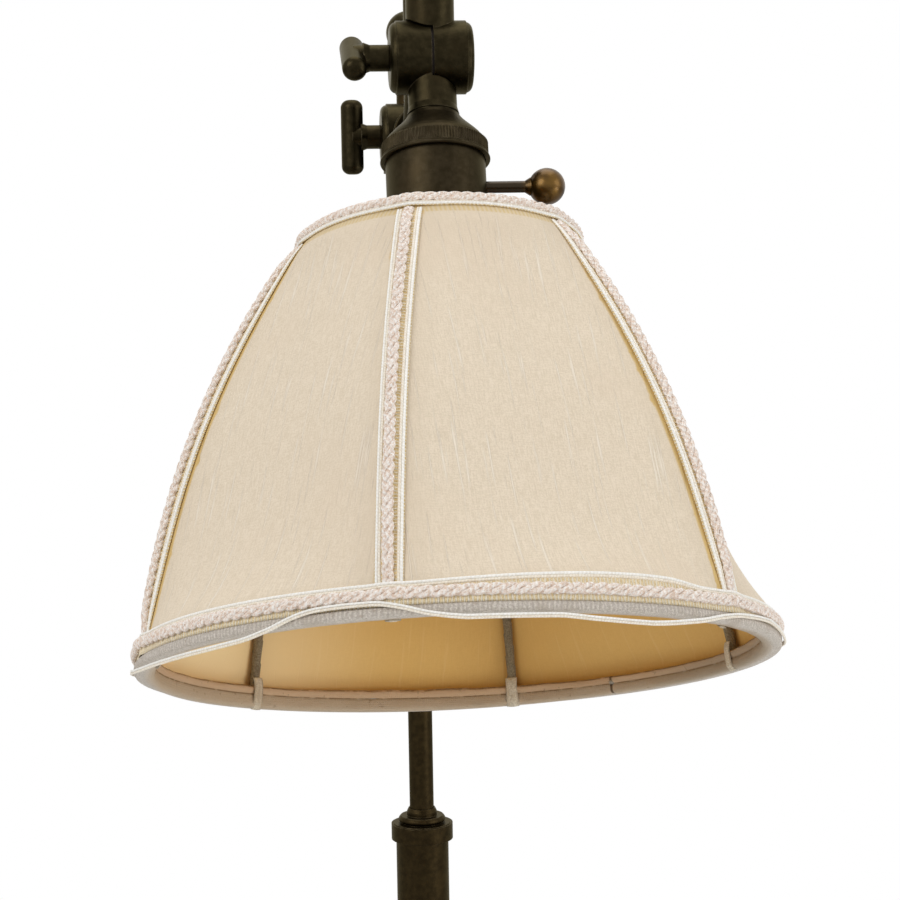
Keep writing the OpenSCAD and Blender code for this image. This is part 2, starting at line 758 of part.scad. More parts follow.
module socket_sleeve() {
    color("#b9ab8e") place_head() difference() {
        translate([0, 0, -shell_bottom + fitter_t])
            ring(socket_sleeve_r, socket_sleeve_r - sleeve_t, shell_bottom - shell_top - fitter_t);
        translate([0, 0, -key_drop]) along_x() cylinder(d = key_d + 1, h = cap_d);
    }
}

body_end = shell_bottom + thread_len;
module socket_body() {
    color("#1f1c1a") place_head() difference() {
        union() {
            translate([0, 0, -body_end]) cylinder(r = body_r, h = body_end - body_top);
            translate([0, 0, -body_end]) cylinder(r = thread_r, h = thread_len);
        }
        translate([0, 0, -body_end - 1])
            cylinder(r = screw_shell_r + screw_shell_t + nest, h = body_end - body_top - switch_block_h + 1);
        translate([3, 0, -key_drop]) along_x() cylinder(d = key_d + 2 * pin_fit, h = cap_d);
        for (side = [-1, 1]) {
            translate([0, side * (body_r - 4), -body_top - 4]) cylinder(d = 2.6 + 2 * nest, h = 5);
            translate([0, side * (body_r - 4), -body_top - 1.8]) cylinder(d = 5.6 + 2 * nest, h = 3);
        }
    }
}

module terminal_screws() {
    color(brass) place_head() for (side = [-1, 1]) translate([0, side * (body_r - 4), -body_top - 1.8]) {
        difference() {
            cylinder(d = 5.6, h = 2.4);
            translate([-3, -0.4, 1.5]) cube([6, 0.8, 2]);
        }
        translate([0, 0, -2.1]) cylinder(d = 2.6, h = 2.2);
    }
}

screw_shell_top = body_top + switch_block_h;
module screw_shell() {
    color(brass) place_head() translate([0, 0, -body_end + 1.5]) difference() {
        cylinder(r = screw_shell_r + screw_shell_t, h = body_end - 1.5 - screw_shell_top - nest);
        translate([0, 0, -1]) cylinder(r = screw_shell_r, h = body_end - screw_shell_top);
    }
}

module centre_contact() {
    color(brass) place_head() translate([0, 0, -screw_shell_top]) union() {
        translate([-3, -8, -0.6]) cube([6, 12, 0.6]);
        translate([0, 0, -(contact_drop - screw_shell_top)]) cylinder(d = 5, h = contact_drop - screw_shell_top);
    }
}

module switch_key() {
    color(key_brass) place_head() translate([0, 0, -key_drop]) union() {
        translate([3.4, 0, 0]) along_x() cylinder(d = key_d, h = key_reach - 3.4);
        translate([key_reach, 0, 0]) sphere(d = key_ball_d, $fn = 64);
        translate([key_reach - key_ball_d / 2 - 1.2, 0, 0]) along_x()
            cylinder(d1 = key_d, d2 = key_d + 2.2, h = 1.8);
    }
}

module ring_nut() {
    color(brass) place_head() translate([0, 0, -shell_bottom - fitter_t - 4]) difference() {
        union() {
            cylinder(r = thread_r + 2, h = 4);
            cylinder(r = thread_r + 3.2, h = 1.6);
        }
        translate([0, 0, -1]) cylinder(r = thread_r + fit, h = 6);
    }
}

// Shade

module wire_ring(r, z) {
    translate([0, 0, z]) rotate_extrude($fn = 72) translate([r, 0]) circle(d = ring_wire_d, $fn = 24);
}

// The binding of the bottom ring stands hem_up over the ring inside the shade, passes under the skins and
// goes up their outside as a narrow hem
hem_up = 3;
hem_t = 0.8;
hem_h = 1.5;

// Room in a taped ring, from one height to another, for each rib and spider arm that meets it
module rib_rooms(r, low_z, high_z) {
    for (k = [0 : rib_count - 1]) rotate([0, 0, rib_turns[k] - 90])
        translate([r - 8, -wire_d / 2 - nest, low_z]) cube([16, wire_d + 2 * nest, high_z - low_z]);
}

module rib_arc(k, d, from_z, to_z) {
    low = bow_angle(from_z, rib_depth);
    high = bow_angle(to_z, rib_depth);
    rotate([0, 0, rib_turns[k] - 90]) translate([bow_centre[0], 0, bow_centre[1]]) rotate([90, 0, 0])
        rotate([0, 0, low]) rotate_extrude(angle = high - low, $fn = 360)
            translate([bow_r - rib_depth, 0]) circle(d = d, $fn = 24);
}

fitter_top = -shell_bottom;
module shade_frame() {
    arm_in = [fitter_r - 1.6, fitter_top - fitter_t / 2];
    arm_out = [top_ring_r, top_ring_z];
    arm_run = arm_out - arm_in;
    color(brass) place_head() union() {
        wire_ring(bottom_ring_r, bottom_ring_z);
        wire_ring(top_ring_r, top_ring_z);
        for (k = [0 : rib_count - 1]) rib_arc(k, wire_d, bottom_ring_z, top_ring_z);
        translate([0, 0, fitter_top - fitter_t]) ring(fitter_r, thread_r + nest, fitter_t);
        for (k = [0 : 2]) rotate([0, 0, rib_turns[2 * k] - 90]) translate([arm_in[0], 0, arm_in[1]])
            rotate([0, atan2(arm_run[0], arm_run[1]), 0]) cylinder(d = wire_d, h = norm(arm_run), $fn = 24);
    }
}

module rib_tape() {
    foot_z = bottom_ring_z + hem_up + 1;
    color(taupe) place_head() for (k = [0 : rib_count - 1]) difference() {
        rib_arc(k, 2 * tape_r, foot_z, top_ring_z - ring_tape_r - 0.6);
        rib_arc(k, wire_d + 2 * fit, bottom_ring_z, top_ring_z);
    }
}

module top_tape() {
    color(taupe) place_head() difference() {
        translate([0, 0, top_ring_z]) rotate_extrude($fn = 72) translate([top_ring_r, 0]) difference() {
            circle(d = ring_wire_d + 2 * tape_t, $fn = 32);
            circle(d = ring_wire_d + 2 * fit, $fn = 32);
        }
        rib_rooms(top_ring_r, top_ring_z - 6, top_ring_z + 1.7);
    }
}

module bottom_tape() {
    out = ring_tape_r - 0.1;
    up = hem_up;
    hem_out = bow_out(shade_bottom_z, 0) + nest - bottom_ring_r;
    color(taupe) place_head() difference() {
        translate([0, 0, bottom_ring_z]) rotate_extrude($fn = 72) translate([bottom_ring_r, 0]) difference() {
            union() {
                rotate([0, 0, bow_angle(bottom_ring_z, rib_depth)]) union() {
                    translate([-out, 1 - up]) square([2 * out, 2 * up - 2]);
                    translate([1 - out, -up]) square([2 * out - 2, 2 * up]);
                    for (x = [1 - out, out - 1], y = [1 - up, up - 1]) translate([x, y]) circle(r = 1);
                }
                translate([0.3 - out, -ring_inset - nest - hem_t]) square([2 * out - 0.6, 3]);
                translate([0.3 - out, -ring_inset - nest - hem_t / 2]) circle(d = hem_t);
                translate([0.3 - out, -ring_inset - nest - hem_t]) square([hem_out + out - 0.3, hem_t]);
                translate([hem_out, -ring_inset - nest - hem_t / 2]) square([hem_t, hem_h + hem_t / 2]);
                translate([hem_out + hem_t / 2, -ring_inset - nest - hem_t / 2]) circle(d = hem_t);
                translate([hem_out + hem_t / 2, -ring_inset - nest + hem_h]) circle(d = hem_t);
            }
            circle(d = ring_wire_d + 2 * fit);
        }
        rib_rooms(bottom_ring_r, bottom_ring_z, bottom_ring_z + up + 2);
    }
}

module shade_lining() {
    color(amber) place_head() shade_skin(lining_depth, lining_t);
}

module shade_cover() {
    color(cream) place_head() shade_skin(0, cover_t);
}

// Half-round braid section at share t down rib k, bent over the ridge between two panels
function braid_ring(t, k) =
    let (z = shade_bottom_z + shade_h * t,
        turn = rib_turns[k],
        slope = bow_angle(z, 0),
        out = [cos(slope) * sin(turn), -cos(slope) * cos(turn), sin(slope)],
        side = [cos(turn), sin(turn), 0],
        droop = braid_w / 2 * tan(30) * (1 - roundness(t)) * cos(slope),
        base = bow_out(z, 0) * [sin(turn), -cos(turn), 0] + [0, 0, z],
        w = braid_w / 2)
    [for (p = [[0, 0.25], [w, 0.25 - droop], [w, braid_t * 0.5 - droop], [w * 0.45, braid_t],
        [-w * 0.45, braid_t], [-w, braid_t * 0.5 - droop], [-w, 0.25 - droop]])
        base + p[0] * side + p[1] * out];

module rib_braids() {
    first_share = 8 / shade_h;
    last_share = 1 - top_braid_drop / shade_h;
    color(cord_white) place_head() for (k = [0 : rib_count - 1])
        sweep([for (row = [0 : rows])
            braid_ring(row == 0 ? first_share : row == rows ? last_share : share(row), k)]);
}

// Braid ring around the cover between two heights
module hoop_braid(low_z, high_z) {
    mid_r = (bow_out(low_z, 0) + bow_out(high_z, 0)) / 2;
    lean = atan2(bow_out(low_z, 0) - bow_out(high_z, 0), high_z - low_z);
    half = (high_z - low_z) / 2;
    rotate_extrude($fn = 96) translate([mid_r + 0.15, low_z + half]) rotate([0, 0, lean]) union() {
        translate([0, -half]) square([braid_t * 0.45, 2 * half]);
        translate([0, 1 - half]) square([braid_t * 0.8, 2 * half - 2]);
        translate([0, 1.8 - half]) square([braid_t, 2 * half - 3.6]);
    }
}

// The top braid is rolled over the top edge of the cover
top_braid_drop = 4.9;
module top_braid() {
    slope = bow_angle(shade_top_z, 0);
    edge = [bow_out(shade_top_z, 0), shade_top_z];
    out = [cos(slope), sin(slope)];
    down = [sin(slope), -cos(slope)];
    color(cord_white) place_head() rotate_extrude($fn = 96) polygon([
        edge + 0.15 * out + 5 * down, edge + 0.6 * braid_t * out + 5 * down,
        edge + 0.95 * braid_t * out + 3.9 * down, edge + braid_t * out + 2.4 * down,
        edge + 0.85 * braid_t * out + 0.4 * down, edge + [1, 1.3], edge + [-1.9, 1.3], edge + [-2.8, 0.7],
        edge + [-2.8, nest], edge + [0.3, nest]
    ]);
}

module bottom_braid() {
    low_z = shade_bottom_z + hem_h + 0.6;
    color(cord_white) place_head() hoop_braid(low_z, low_z + braid_w - edge_cord_d);
}

// The cord along the bottom braid's lower edge has come unsewn in two places and hangs in bights there
cord_rings = 96;
cord_sides = 6;
loose_stretches = [[-88, -33], [-13, 45]];
function cord_drop(turn) = cord_sag * max([for (stretch = loose_stretches)
    let (share = (turn - stretch[0]) / (stretch[1] - stretch[0]))
    share > 0 && share < 1 ? pow(sin(180 * share), 0.7) : 0]);
module loose_cord() {
    start_z = shade_bottom_z + hem_h + edge_cord_d / 2 + 0.1;
    cord_r = bow_out(shade_bottom_z, 0) + hem_t + edge_cord_d / 2 + 0.4;
    rings = [for (i = [0 : cord_rings - 1])
        let (turn = 360 * i / cord_rings - 180,
            centre = [cord_r * sin(turn), -cord_r * cos(turn), start_z - cord_drop(turn)])
        [for (j = [0 : cord_sides - 1]) let (a = 360 * j / cord_sides)
            centre + edge_cord_d / 2 * [cos(a) * sin(turn), -cos(a) * cos(turn), sin(a)]]];
    color(cord_white) place_head() sweep(rings, closed = true);
}

// Bulb

bulb_top = contact_drop + 0.1;
bulb_end = bulb_top + bulb_len;
collar_drop = bulb_top + 27;
module bulb_base() {
    color("#c9ccd0") place_head() union() {
        translate([0, 0, -bulb_top - 2]) cylinder(r1 = 6.5, r2 = 3.5, h = 2);
        translate([0, 0, -collar_drop]) cylinder(r = bulb_base_r, h = collar_drop - bulb_top - 4);
        translate([0, 0, -bulb_top - 4.2]) cylinder(r1 = bulb_base_r, r2 = 6.5, h = 2.4);
    }
}

glass_t = 0.9;
module bulb_profile(inset) {
    ball_r = bulb_d / 2;
    neck_r = bulb_base_r + 0.4;
    ball_z = -bulb_end + ball_r;
    difference() {
        union() {
            translate([0, ball_z]) circle(r = ball_r - inset);
            polygon([[0, ball_z], [ball_r * 0.966 - inset, ball_z + ball_r * 0.26],
                [neck_r + 3 - inset, ball_z + ball_r * 1.05], [neck_r - inset, -collar_drop - inset], [0, -collar_drop - inset]]);
        }
        translate([-bulb_d, -bulb_end - 1]) square([bulb_d, bulb_len + 10]);
    }
}

module bulb_glass() {
    color("#f4f1e8") place_head() difference() {
        rotate_extrude() bulb_profile(0);
        rotate_extrude() bulb_profile(glass_t);
    }
}

module bulb_filament() {
    stem_z = -collar_drop - glass_t;
    color("#cfd4d6") place_head() union() {
        translate([0, 0, stem_z - 22]) cylinder(r1 = 1.5, r2 = 4.5, h = 22);
        translate([0, 0, stem_z - 22]) along_x() translate([0, 0, -9]) cylinder(d = 2, h = 18);
    }
}

base_felt();
base_weight();
base_shell();
cord_bushing();
base_nipple();
base_washer();
base_nut();
column_foot();
column_tube();
column_cap();
upright_rod();
rod_washer();
rod_nut();
ball_finial();
clamp_sleeve();
rod_clamp();
collar_thumb_screw();
rear_washer();
rear_knuckle();
rear_ferrule();
arm_tube();
front_ferrule();
front_knuckle();
front_washer();
rear_thumb_screw();
front_thumb_screw();
head_knuckle();
neck_ring();
neck_nipple();
nipple_nut();
socket_cap();
socket_shell();
socket_sleeve();
socket_body();
screw_shell();
centre_contact();
terminal_screws();
switch_key();
ring_nut();
shade_frame();
rib_tape();
top_tape();
bottom_tape();
shade_lining();
shade_cover();
rib_braids();
top_braid();
bottom_braid();
loose_cord();
bulb_base();
bulb_glass();
bulb_filament();
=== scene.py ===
import math

import bmesh
import bpy
from mathutils import Matrix, Vector, noise


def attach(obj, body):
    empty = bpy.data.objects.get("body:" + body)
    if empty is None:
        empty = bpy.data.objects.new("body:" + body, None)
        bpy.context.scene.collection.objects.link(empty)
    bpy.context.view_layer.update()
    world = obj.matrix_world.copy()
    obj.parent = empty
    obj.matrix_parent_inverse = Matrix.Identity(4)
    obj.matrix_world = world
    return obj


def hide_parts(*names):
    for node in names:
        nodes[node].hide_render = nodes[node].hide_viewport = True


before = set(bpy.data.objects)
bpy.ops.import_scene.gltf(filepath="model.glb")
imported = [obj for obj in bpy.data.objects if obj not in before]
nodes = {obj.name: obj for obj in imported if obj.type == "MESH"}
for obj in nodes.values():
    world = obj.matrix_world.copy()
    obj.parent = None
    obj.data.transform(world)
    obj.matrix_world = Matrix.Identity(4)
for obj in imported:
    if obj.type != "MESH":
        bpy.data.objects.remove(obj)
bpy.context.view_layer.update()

# Camera: a long lens in front of the shade and a little above the rod's cap, looking slightly down, with a
# small roll, as the photograph was taken.
camera_data = bpy.data.cameras.new("camera")
camera_data.sensor_width = 36
camera_data.lens = 85.22
camera_data.clip_start = 0.05
camera_data.clip_end = 30
camera = bpy.data.objects.new("camera", camera_data)
camera.matrix_world = (
    Matrix.Translation((-0.05782, -0.82428, 0.41198))
    @ Matrix.Rotation(math.radians(-4.95), 4, "Z")
    @ Matrix.Rotation(math.radians(-4.92), 4, "X")
    @ Matrix.Rotation(math.radians(0.97), 4, "Y")
    @ Matrix.Rotation(math.radians(90), 4, "X")
)
bpy.context.scene.collection.objects.link(camera)
bpy.context.scene.camera = camera
bpy.context.scene.view_settings.view_transform = "Standard"


# Studio: an even white surround that the camera sees as plain white, four large soft lamps, and a pale
# floor that keeps the lamp's shadow near its foot and runs out to white farther off.
class Signal:
    """The output of a node. It adds, subtracts, multiplies and divides like a number."""

    def __init__(self, tree, socket):
        self.tree = tree
        self.socket = socket

    def _math(self, operation, first, second=0.0):
        return self.tree.add("ShaderNodeMath", {"operation": operation}, {0: first, 1: second})

    def __add__(self, other):
        return self._math("ADD", self, other)

    def __radd__(self, other):
        return self._math("ADD", other, self)

    def __sub__(self, other):
        return self._math("SUBTRACT", self, other)

    def __rsub__(self, other):
        return self._math("SUBTRACT", other, self)

    def __mul__(self, other):
        return self._math("MULTIPLY", self, other)

    def __rmul__(self, other):
        return self._math("MULTIPLY", other, self)

    def __truediv__(self, other):
        return self._math("DIVIDE", self, other)

    def size(self):
        return self._math("ABSOLUTE", self)

    def swing(self):
        """From 0 to 1 and back once for each whole number."""
        return 0.5 - 0.5 * self._math("COSINE", self * (2 * math.pi))

    def most(self, other):
        return self._math("MAXIMUM", self, other)

    def ramp(self, start, end):
        """0 at start and 1 at end, smooth in between."""
        return self.tree.add("ShaderNodeMapRange", {"interpolation_type": "SMOOTHSTEP"},
                             {"Value": self, "From Min": start, "From Max": end})


class Tree:
    """The nodes of a material or world. One call adds one node."""

    def __init__(self, owner):
        owner.use_nodes = True
        self.owner = owner
        self.nodes = owner.node_tree.nodes
        self.links = owner.node_tree.links

    def give(self, socket, value):
        if isinstance(value, Signal):
            self.links.new(value.socket, socket)
        else:
            socket.default_value = value

    def add(self, kind, settings, inputs, output=0):
        made = self.nodes.new(kind)
        for name, value in settings.items():
            setattr(made, name, value)
        for name, value in inputs.items():
            self.give(made.inputs[name], value)
        return Signal(self, made.outputs[output])

    def surface(self, inputs):
        """Set or link the sockets of the material's own shader."""
        shader = self.nodes["Principled BSDF"]
        for name, value in inputs.items():
            self.give(shader.inputs[name], value)

    def scaled(self, vector, factors):
        return self.add("ShaderNodeVectorMath", {"operation": "MULTIPLY"}, {0: vector, 1: factors})

    def place(self, stretch=(1, 1, 1)):
        """Where a point is in the object at rest, in millimetres, each direction scaled by stretch."""
        spot = self.add("ShaderNodeTexCoord", {}, {}, "Object")
        return self.scaled(spot, tuple(1000 * s for s in stretch))

    def flat(self, layer="UVMap"):
        """The flat coordinates of a cloth, in millimetres."""
        return self.add("ShaderNodeUVMap", {"uv_map": layer}, {}, "UV")

    def axis(self, vector, letter):
        """One of the three numbers of a vector."""
        return self.add("ShaderNodeSeparateXYZ", {}, {0: vector}, letter)

    def grain(self, spot, scale, detail=2.0, roughness=0.5):
        """Soft random spots, scale of them to the millimetre, from 0 to 1."""
        return self.add("ShaderNodeTexNoise", {},
                        {"Vector": spot, "Scale": scale, "Detail": detail, "Roughness": roughness})

    def blend(self, share, first, second):
        """A colour that goes from the first to the second as share goes from 0 to 1."""
        return self.add("ShaderNodeMix", {"data_type": "RGBA"}, {0: share, 6: first, 7: second}, 2)

    def relief(self, height, depth, below=None):
        """A normal for a surface that rises by depth millimetres where height is 1."""
        inputs = {"Strength": 1.0, "Distance": depth / 1000, "Height": height}
        if below is not None:
            inputs["Normal"] = below
        return self.add("ShaderNodeBump", {}, inputs)


def colour(red, green, blue):
    return (red, green, blue, 1.0)


def start_material(name):
    return Tree(bpy.data.materials.new(name))


world = bpy.data.worlds.new("studio")
bpy.context.scene.world = world
sky = Tree(world)
ray = sky.add("ShaderNodeLightPath", {}, {}, "Is Camera Ray")
ray_kinds = ray.socket.node.outputs
glossy_ray = Signal(sky, ray_kinds["Is Glossy Ray"])
clear_ray = Signal(sky, ray_kinds["Is Transmission Ray"])
seen = ray.most(glossy_ray).most(clear_ray)
lighting = sky.add("ShaderNodeBackground", {}, {"Color": colour(1, 1, 1), "Strength": 0.44})
plain_white = sky.add("ShaderNodeBackground", {}, {"Color": colour(1, 1, 1), "Strength": 1.0})
surround = sky.add("ShaderNodeMixShader", {}, {0: seen, 1: lighting, 2: plain_white})
sky.give(sky.nodes["World Output"].inputs["Surface"], surround)


def soft_lamp(name, spot, aim, width, power):
    data = bpy.data.lights.new(name, "AREA")
    data.shape = "SQUARE"
    data.size = width
    data.energy = power
    lamp = bpy.data.objects.new(name, data)
    heading = Vector(aim) - Vector(spot)
    lamp.matrix_world = Matrix.Translation(spot) @ heading.to_track_quat("-Z", "Y").to_matrix().to_4x4()
    bpy.context.scene.collection.objects.link(lamp)


soft_lamp("lamp_left", (-1.3, -1.3, 1.3), (0, -0.1, 0.35), width=1.1, power=14.4)
soft_lamp("lamp_right", (1.5, -0.9, 0.9), (0, -0.1, 0.35), width=0.9, power=5.1)
soft_lamp("lamp_low", (1.0, -0.75, 0.06), (-0.06, -0.12, 0.3), width=0.5, power=3.5)
soft_lamp("lamp_top", (0.1, 0.2, 1.9), (0, -0.1, 0.3), width=1.2, power=9.6)

floor_mesh = bpy.data.meshes.new("floor")
floor_bm = bmesh.new()
bmesh.ops.create_circle(floor_bm, cap_ends=True, segments=64, radius=6)
floor_bm.to_mesh(floor_mesh)
floor_bm.free()
floor = bpy.data.objects.new("floor", floor_mesh)
bpy.context.scene.collection.objects.link(floor)
ground = start_material("floor_white")
ground_spot = ground.place((0.001, 0.001, 0))
from_middle = ground.add("ShaderNodeVectorMath", {"operation": "LENGTH"}, {0: ground_spot}, "Value")
ground.surface({"Base Color": colour(0.86, 0.86, 0.86), "Roughness": 0.9})
ground_seen = ground.add("ShaderNodeLightPath", {}, {}, "Is Camera Ray")
ground_white = ground.add("ShaderNodeEmission", {}, {"Color": colour(1, 1, 1), "Strength": 1.0})
ground_shader = Signal(ground, ground.nodes["Principled BSDF"].outputs[0])
ground_mix = ground.add("ShaderNodeMixShader", {},
                        {0: ground_seen * from_middle.ramp(0.16, 0.5), 1: ground_shader, 2: ground_white})
ground.give(ground.nodes["Material Output"].inputs["Surface"], ground_mix)
floor_mesh.materials.append(ground.owner)


# Bronze: the base, column, rod, clamp, knuckles, arm and socket are cast or turned brass with a dark olive
# patina, a fine cast grain and browner patches where hands have rubbed it. Their rounded edges are painted
# lighter, a painted highlight. The CAD solids have their real shapes.
def dark_bronze(name, dark, lit, rubbed, smooth):
    metal = start_material(name)
    spot = metal.place()
    clouds = metal.grain(spot, 0.05, 4.0, 0.6)
    mottle = metal.grain(spot, 0.45, 3.0)
    specks = metal.grain(spot, 2.6, 2.0)
    drawn = metal.grain(metal.place((1.2, 1.2, 0.06)), 1.0, 2.0)
    soft_edge = metal.add("ShaderNodeBevel", {"samples": 4}, {"Radius": 0.0004})
    true_face = metal.add("ShaderNodeNewGeometry", {}, {}, "True Normal")
    facing = metal.add("ShaderNodeVectorMath", {"operation": "DOT_PRODUCT"}, {0: soft_edge, 1: true_face},
                       "Value")
    # Painted highlight: the colour is painted lighter where the bevelled normal turns from the face, at
    # rounded edges.
    edge_highlight = (1 - facing).ramp(0.02, 0.22) * mottle.ramp(0.25, 0.6)
    tone = metal.blend(mottle.ramp(0.3, 0.75), dark, lit)
    tone = metal.blend(clouds.ramp(0.5, 0.72) * 0.5, tone, rubbed)
    tone = metal.blend(specks.ramp(0.60, 0.78) * 0.35, tone, colour(0.058, 0.046, 0.028))
    tone = metal.blend(edge_highlight * 0.6, tone, colour(0.120, 0.098, 0.062))
    metal.surface({
        "Base Color": tone,
        "Metallic": 1.0,
        "Specular Tint": colour(0.80, 0.76, 0.64),
        "Roughness": smooth + 0.10 * mottle + 0.06 * drawn - 0.06 * clouds,
        "Normal": metal.relief(specks * 0.6 + mottle * 0.4, 0.045, soft_edge),
    })
    return metal.owner


def finish_nodes(material, *names):
    """Give CAD nodes a material in place of the plain one that they came with."""
    for name in names:
        for slot in nodes[name].material_slots:
            slot.material = material


bronze = dark_bronze("bronze_patina", colour(0.017, 0.0135, 0.0065), colour(0.028, 0.022, 0.011),
                     colour(0.033, 0.023, 0.011), smooth=0.29)
finish_nodes(bronze, "rod_clamp", "rear_knuckle", "front_knuckle", "head_knuckle", "rear_ferrule",
             "front_ferrule", "arm_tube", "neck_ring", "ball_finial", "rear_thumb_screw",
             "front_thumb_screw", "collar_thumb_screw")
column_bronze = dark_bronze("column_patina", colour(0.021, 0.0145, 0.0065), colour(0.035, 0.024, 0.010),
                            colour(0.044, 0.028, 0.011), smooth=0.36)
finish_nodes(column_bronze, "column_foot", "column_tube", "column_cap", "upright_rod", "base_shell")
socket_bronze = dark_bronze("socket_patina", colour(0.022, 0.0165, 0.0085), colour(0.033, 0.025, 0.014),
                            colour(0.038, 0.027, 0.014), smooth=0.36)
finish_nodes(socket_bronze, "socket_cap", "socket_shell")


# Switch key: a brass rod and ball whose lacquer has gone brown, worn brighter on the ball by fingers, with
# small dark spots.
key_metal = start_material("key_brass")
key_spot = key_metal.place()
key_clouds = key_metal.grain(key_spot, 0.22, 3.0)
key_pits = key_metal.grain(key_spot, 1.5, 3.0)
key_worn = key_metal.axis(key_spot, "X").ramp(27.0, 32.0)
key_brown = key_metal.blend(key_clouds.ramp(0.35, 0.65), colour(0.078, 0.040, 0.0075),
                            colour(0.130, 0.068, 0.012))
key_tone = key_metal.blend(key_worn, colour(0.030, 0.020, 0.009), key_brown)
key_tone = key_metal.blend(key_pits.ramp(0.62, 0.75) * 0.6, key_tone, colour(0.024, 0.014, 0.006))
key_metal.surface({
    "Base Color": key_tone,
    "Metallic": 0.85,
    "Coat Weight": 0.12,
    "Coat Roughness": 0.12,
    "Roughness": 0.25 + 0.14 * key_clouds,
    "Normal": key_metal.relief(key_pits, 0.03),
})
finish_nodes(key_metal.owner, "switch_key")


# Inner metal: brass nuts and contacts, steel screws and washers, tinned wire, and the iron weight. They are
# turned, stamped or cast, and most are seen only when the lamp is taken apart.
def plain_metal(name, dull, bright, smooth, metallic=0.95):
    metal = start_material(name)
    spot = metal.place()
    clouds = metal.grain(spot, 0.3, 3.0)
    rings = metal.grain(metal.place((0.25, 0.25, 5.0)), 1.0, 2.0)
    metal.surface({
        "Base Color": metal.blend(clouds.ramp(0.3, 0.7), dull, bright),
        "Metallic": metallic,
        "Roughness": smooth + 0.2 * clouds,
        "Normal": metal.relief(rings * 0.5 + clouds * 0.5, 0.03),
    })
    return metal.owner


brass = plain_metal("plain_brass", colour(0.34, 0.23, 0.09), colour(0.56, 0.40, 0.17), smooth=0.28)
finish_nodes(brass, "neck_nipple", "nipple_nut", "screw_shell", "centre_contact", "terminal_screws",
             "ring_nut", "base_nipple", "base_nut")
steel = plain_metal("plain_steel", colour(0.30, 0.31, 0.32), colour(0.50, 0.51, 0.52), smooth=0.3)
finish_nodes(steel, "rod_washer", "rod_nut", "base_washer")
tinned_wire = plain_metal("tinned_wire", colour(0.26, 0.23, 0.18), colour(0.42, 0.38, 0.31), smooth=0.4)
finish_nodes(tinned_wire, "shade_frame")
cast_iron = plain_metal("cast_iron", colour(0.05, 0.048, 0.045), colour(0.10, 0.095, 0.09), smooth=0.62,
                        metallic=0.5)
finish_nodes(cast_iron, "base_weight")
bulb_metal = plain_metal("bulb_metal", colour(0.52, 0.53, 0.54), colour(0.68, 0.69, 0.70), smooth=0.22)
finish_nodes(bulb_metal, "bulb_base")


# Insulating pieces: the moulded socket body, the card sleeve in the shell, the plastic liner in the clamp,
# the fibre washers in the knuckles and the bushing in the base.
def dull_plastic(name, low, high, smooth):
    plastic = start_material(name)
    clouds = plastic.grain(plastic.place(), 1.2, 3.0)
    plastic.surface({
        "Base Color": plastic.blend(clouds.ramp(0.3, 0.7), low, high),
        "Roughness": smooth + 0.15 * clouds,
        "Normal": plastic.relief(clouds, 0.04),
    })
    return plastic.owner


moulded_black = dull_plastic("moulded_black", colour(0.012, 0.011, 0.010), colour(0.025, 0.023, 0.021),
                             smooth=0.35)
finish_nodes(moulded_black, "socket_body", "cord_bushing")
card = dull_plastic("card", colour(0.34, 0.25, 0.15), colour(0.46, 0.36, 0.23), smooth=0.8)
finish_nodes(card, "socket_sleeve")
liner_plastic = dull_plastic("liner_plastic", colour(0.045, 0.040, 0.034), colour(0.07, 0.064, 0.055),
                             smooth=0.5)
finish_nodes(liner_plastic, "clamp_sleeve")
fibre = dull_plastic("fibre", colour(0.016, 0.010, 0.008), colour(0.035, 0.022, 0.016), smooth=0.7)
finish_nodes(fibre, "rear_washer", "front_washer")


# Felt: a pressed wool disc, glued under the base, with short tangled hairs.
felt = start_material("felt")
felt_spot = felt.place()
felt_hair = felt.grain(felt_spot, 2.2, 5.0, 0.7)
felt.surface({
    "Base Color": felt.blend(felt_hair, colour(0.018, 0.035, 0.022), colour(0.05, 0.085, 0.055)),
    "Roughness": 0.95,
    "Normal": felt.relief(felt_hair, 0.35),
})
finish_nodes(felt.owner, "base_felt")


# Bulb: a blown glass globe, white inside, with the lamp off, and its glass stem.
frosted = start_material("frosted_glass")
frost = frosted.grain(frosted.place(), 1.8, 3.0)
frosted.surface({
    "Base Color": frosted.blend(frost, colour(0.80, 0.79, 0.76), colour(0.86, 0.85, 0.82)),
    "Roughness": 0.3 + 0.1 * frost,
    "Normal": frosted.relief(frost, 0.01),
})
finish_nodes(frosted.owner, "bulb_glass")
stem = start_material("stem_glass")
stem_haze = stem.grain(stem.place(), 0.8, 2.0)
stem.surface({
    "Base Color": stem.blend(stem_haze, colour(0.58, 0.61, 0.62), colour(0.72, 0.75, 0.76)),
    "Roughness": 0.12 + 0.1 * stem_haze,
})
finish_nodes(stem.owner, "bulb_filament")


# Shade cover: six panels of cream slub silk, sewn together along the ribs, stretched over the wires and
# glued under the braid. Between the rings the panels run almost flat from rib to rib. The measures are
# those of the CAD part, in millimetres, in the head's own frame: its origin is on the front hinge and the
# socket's axis points up.
front_hinge = (0, -0.107, 0.4815)
head_lean = math.radians(-19.2)
millimetre = 0.001
to_head = (
    Matrix.Translation(front_hinge)
    @ Matrix.Rotation(head_lean, 4, "X")
    @ Matrix.Scale(millimetre, 4)
)
shade_top_z = -65.6
shade_h = 138.3
shade_bottom_z = shade_top_z - shade_h
shade_bottom_r = 98.7
shade_top_r = 43.2
rib_bow = 10
rib_turns = [math.radians(a) for a in (-75.4, -15.4, 48.0, 104.6, 163.6, 222.2)]
rib_count = len(rib_turns)
lining_depth = 0.8
rib_depth = 3.15
rib_wire_r = 1.2
ring_wire_r = 1.45
ring_inset = 3.4
tape_t = 0.4
up = Vector((0, 0, 1))

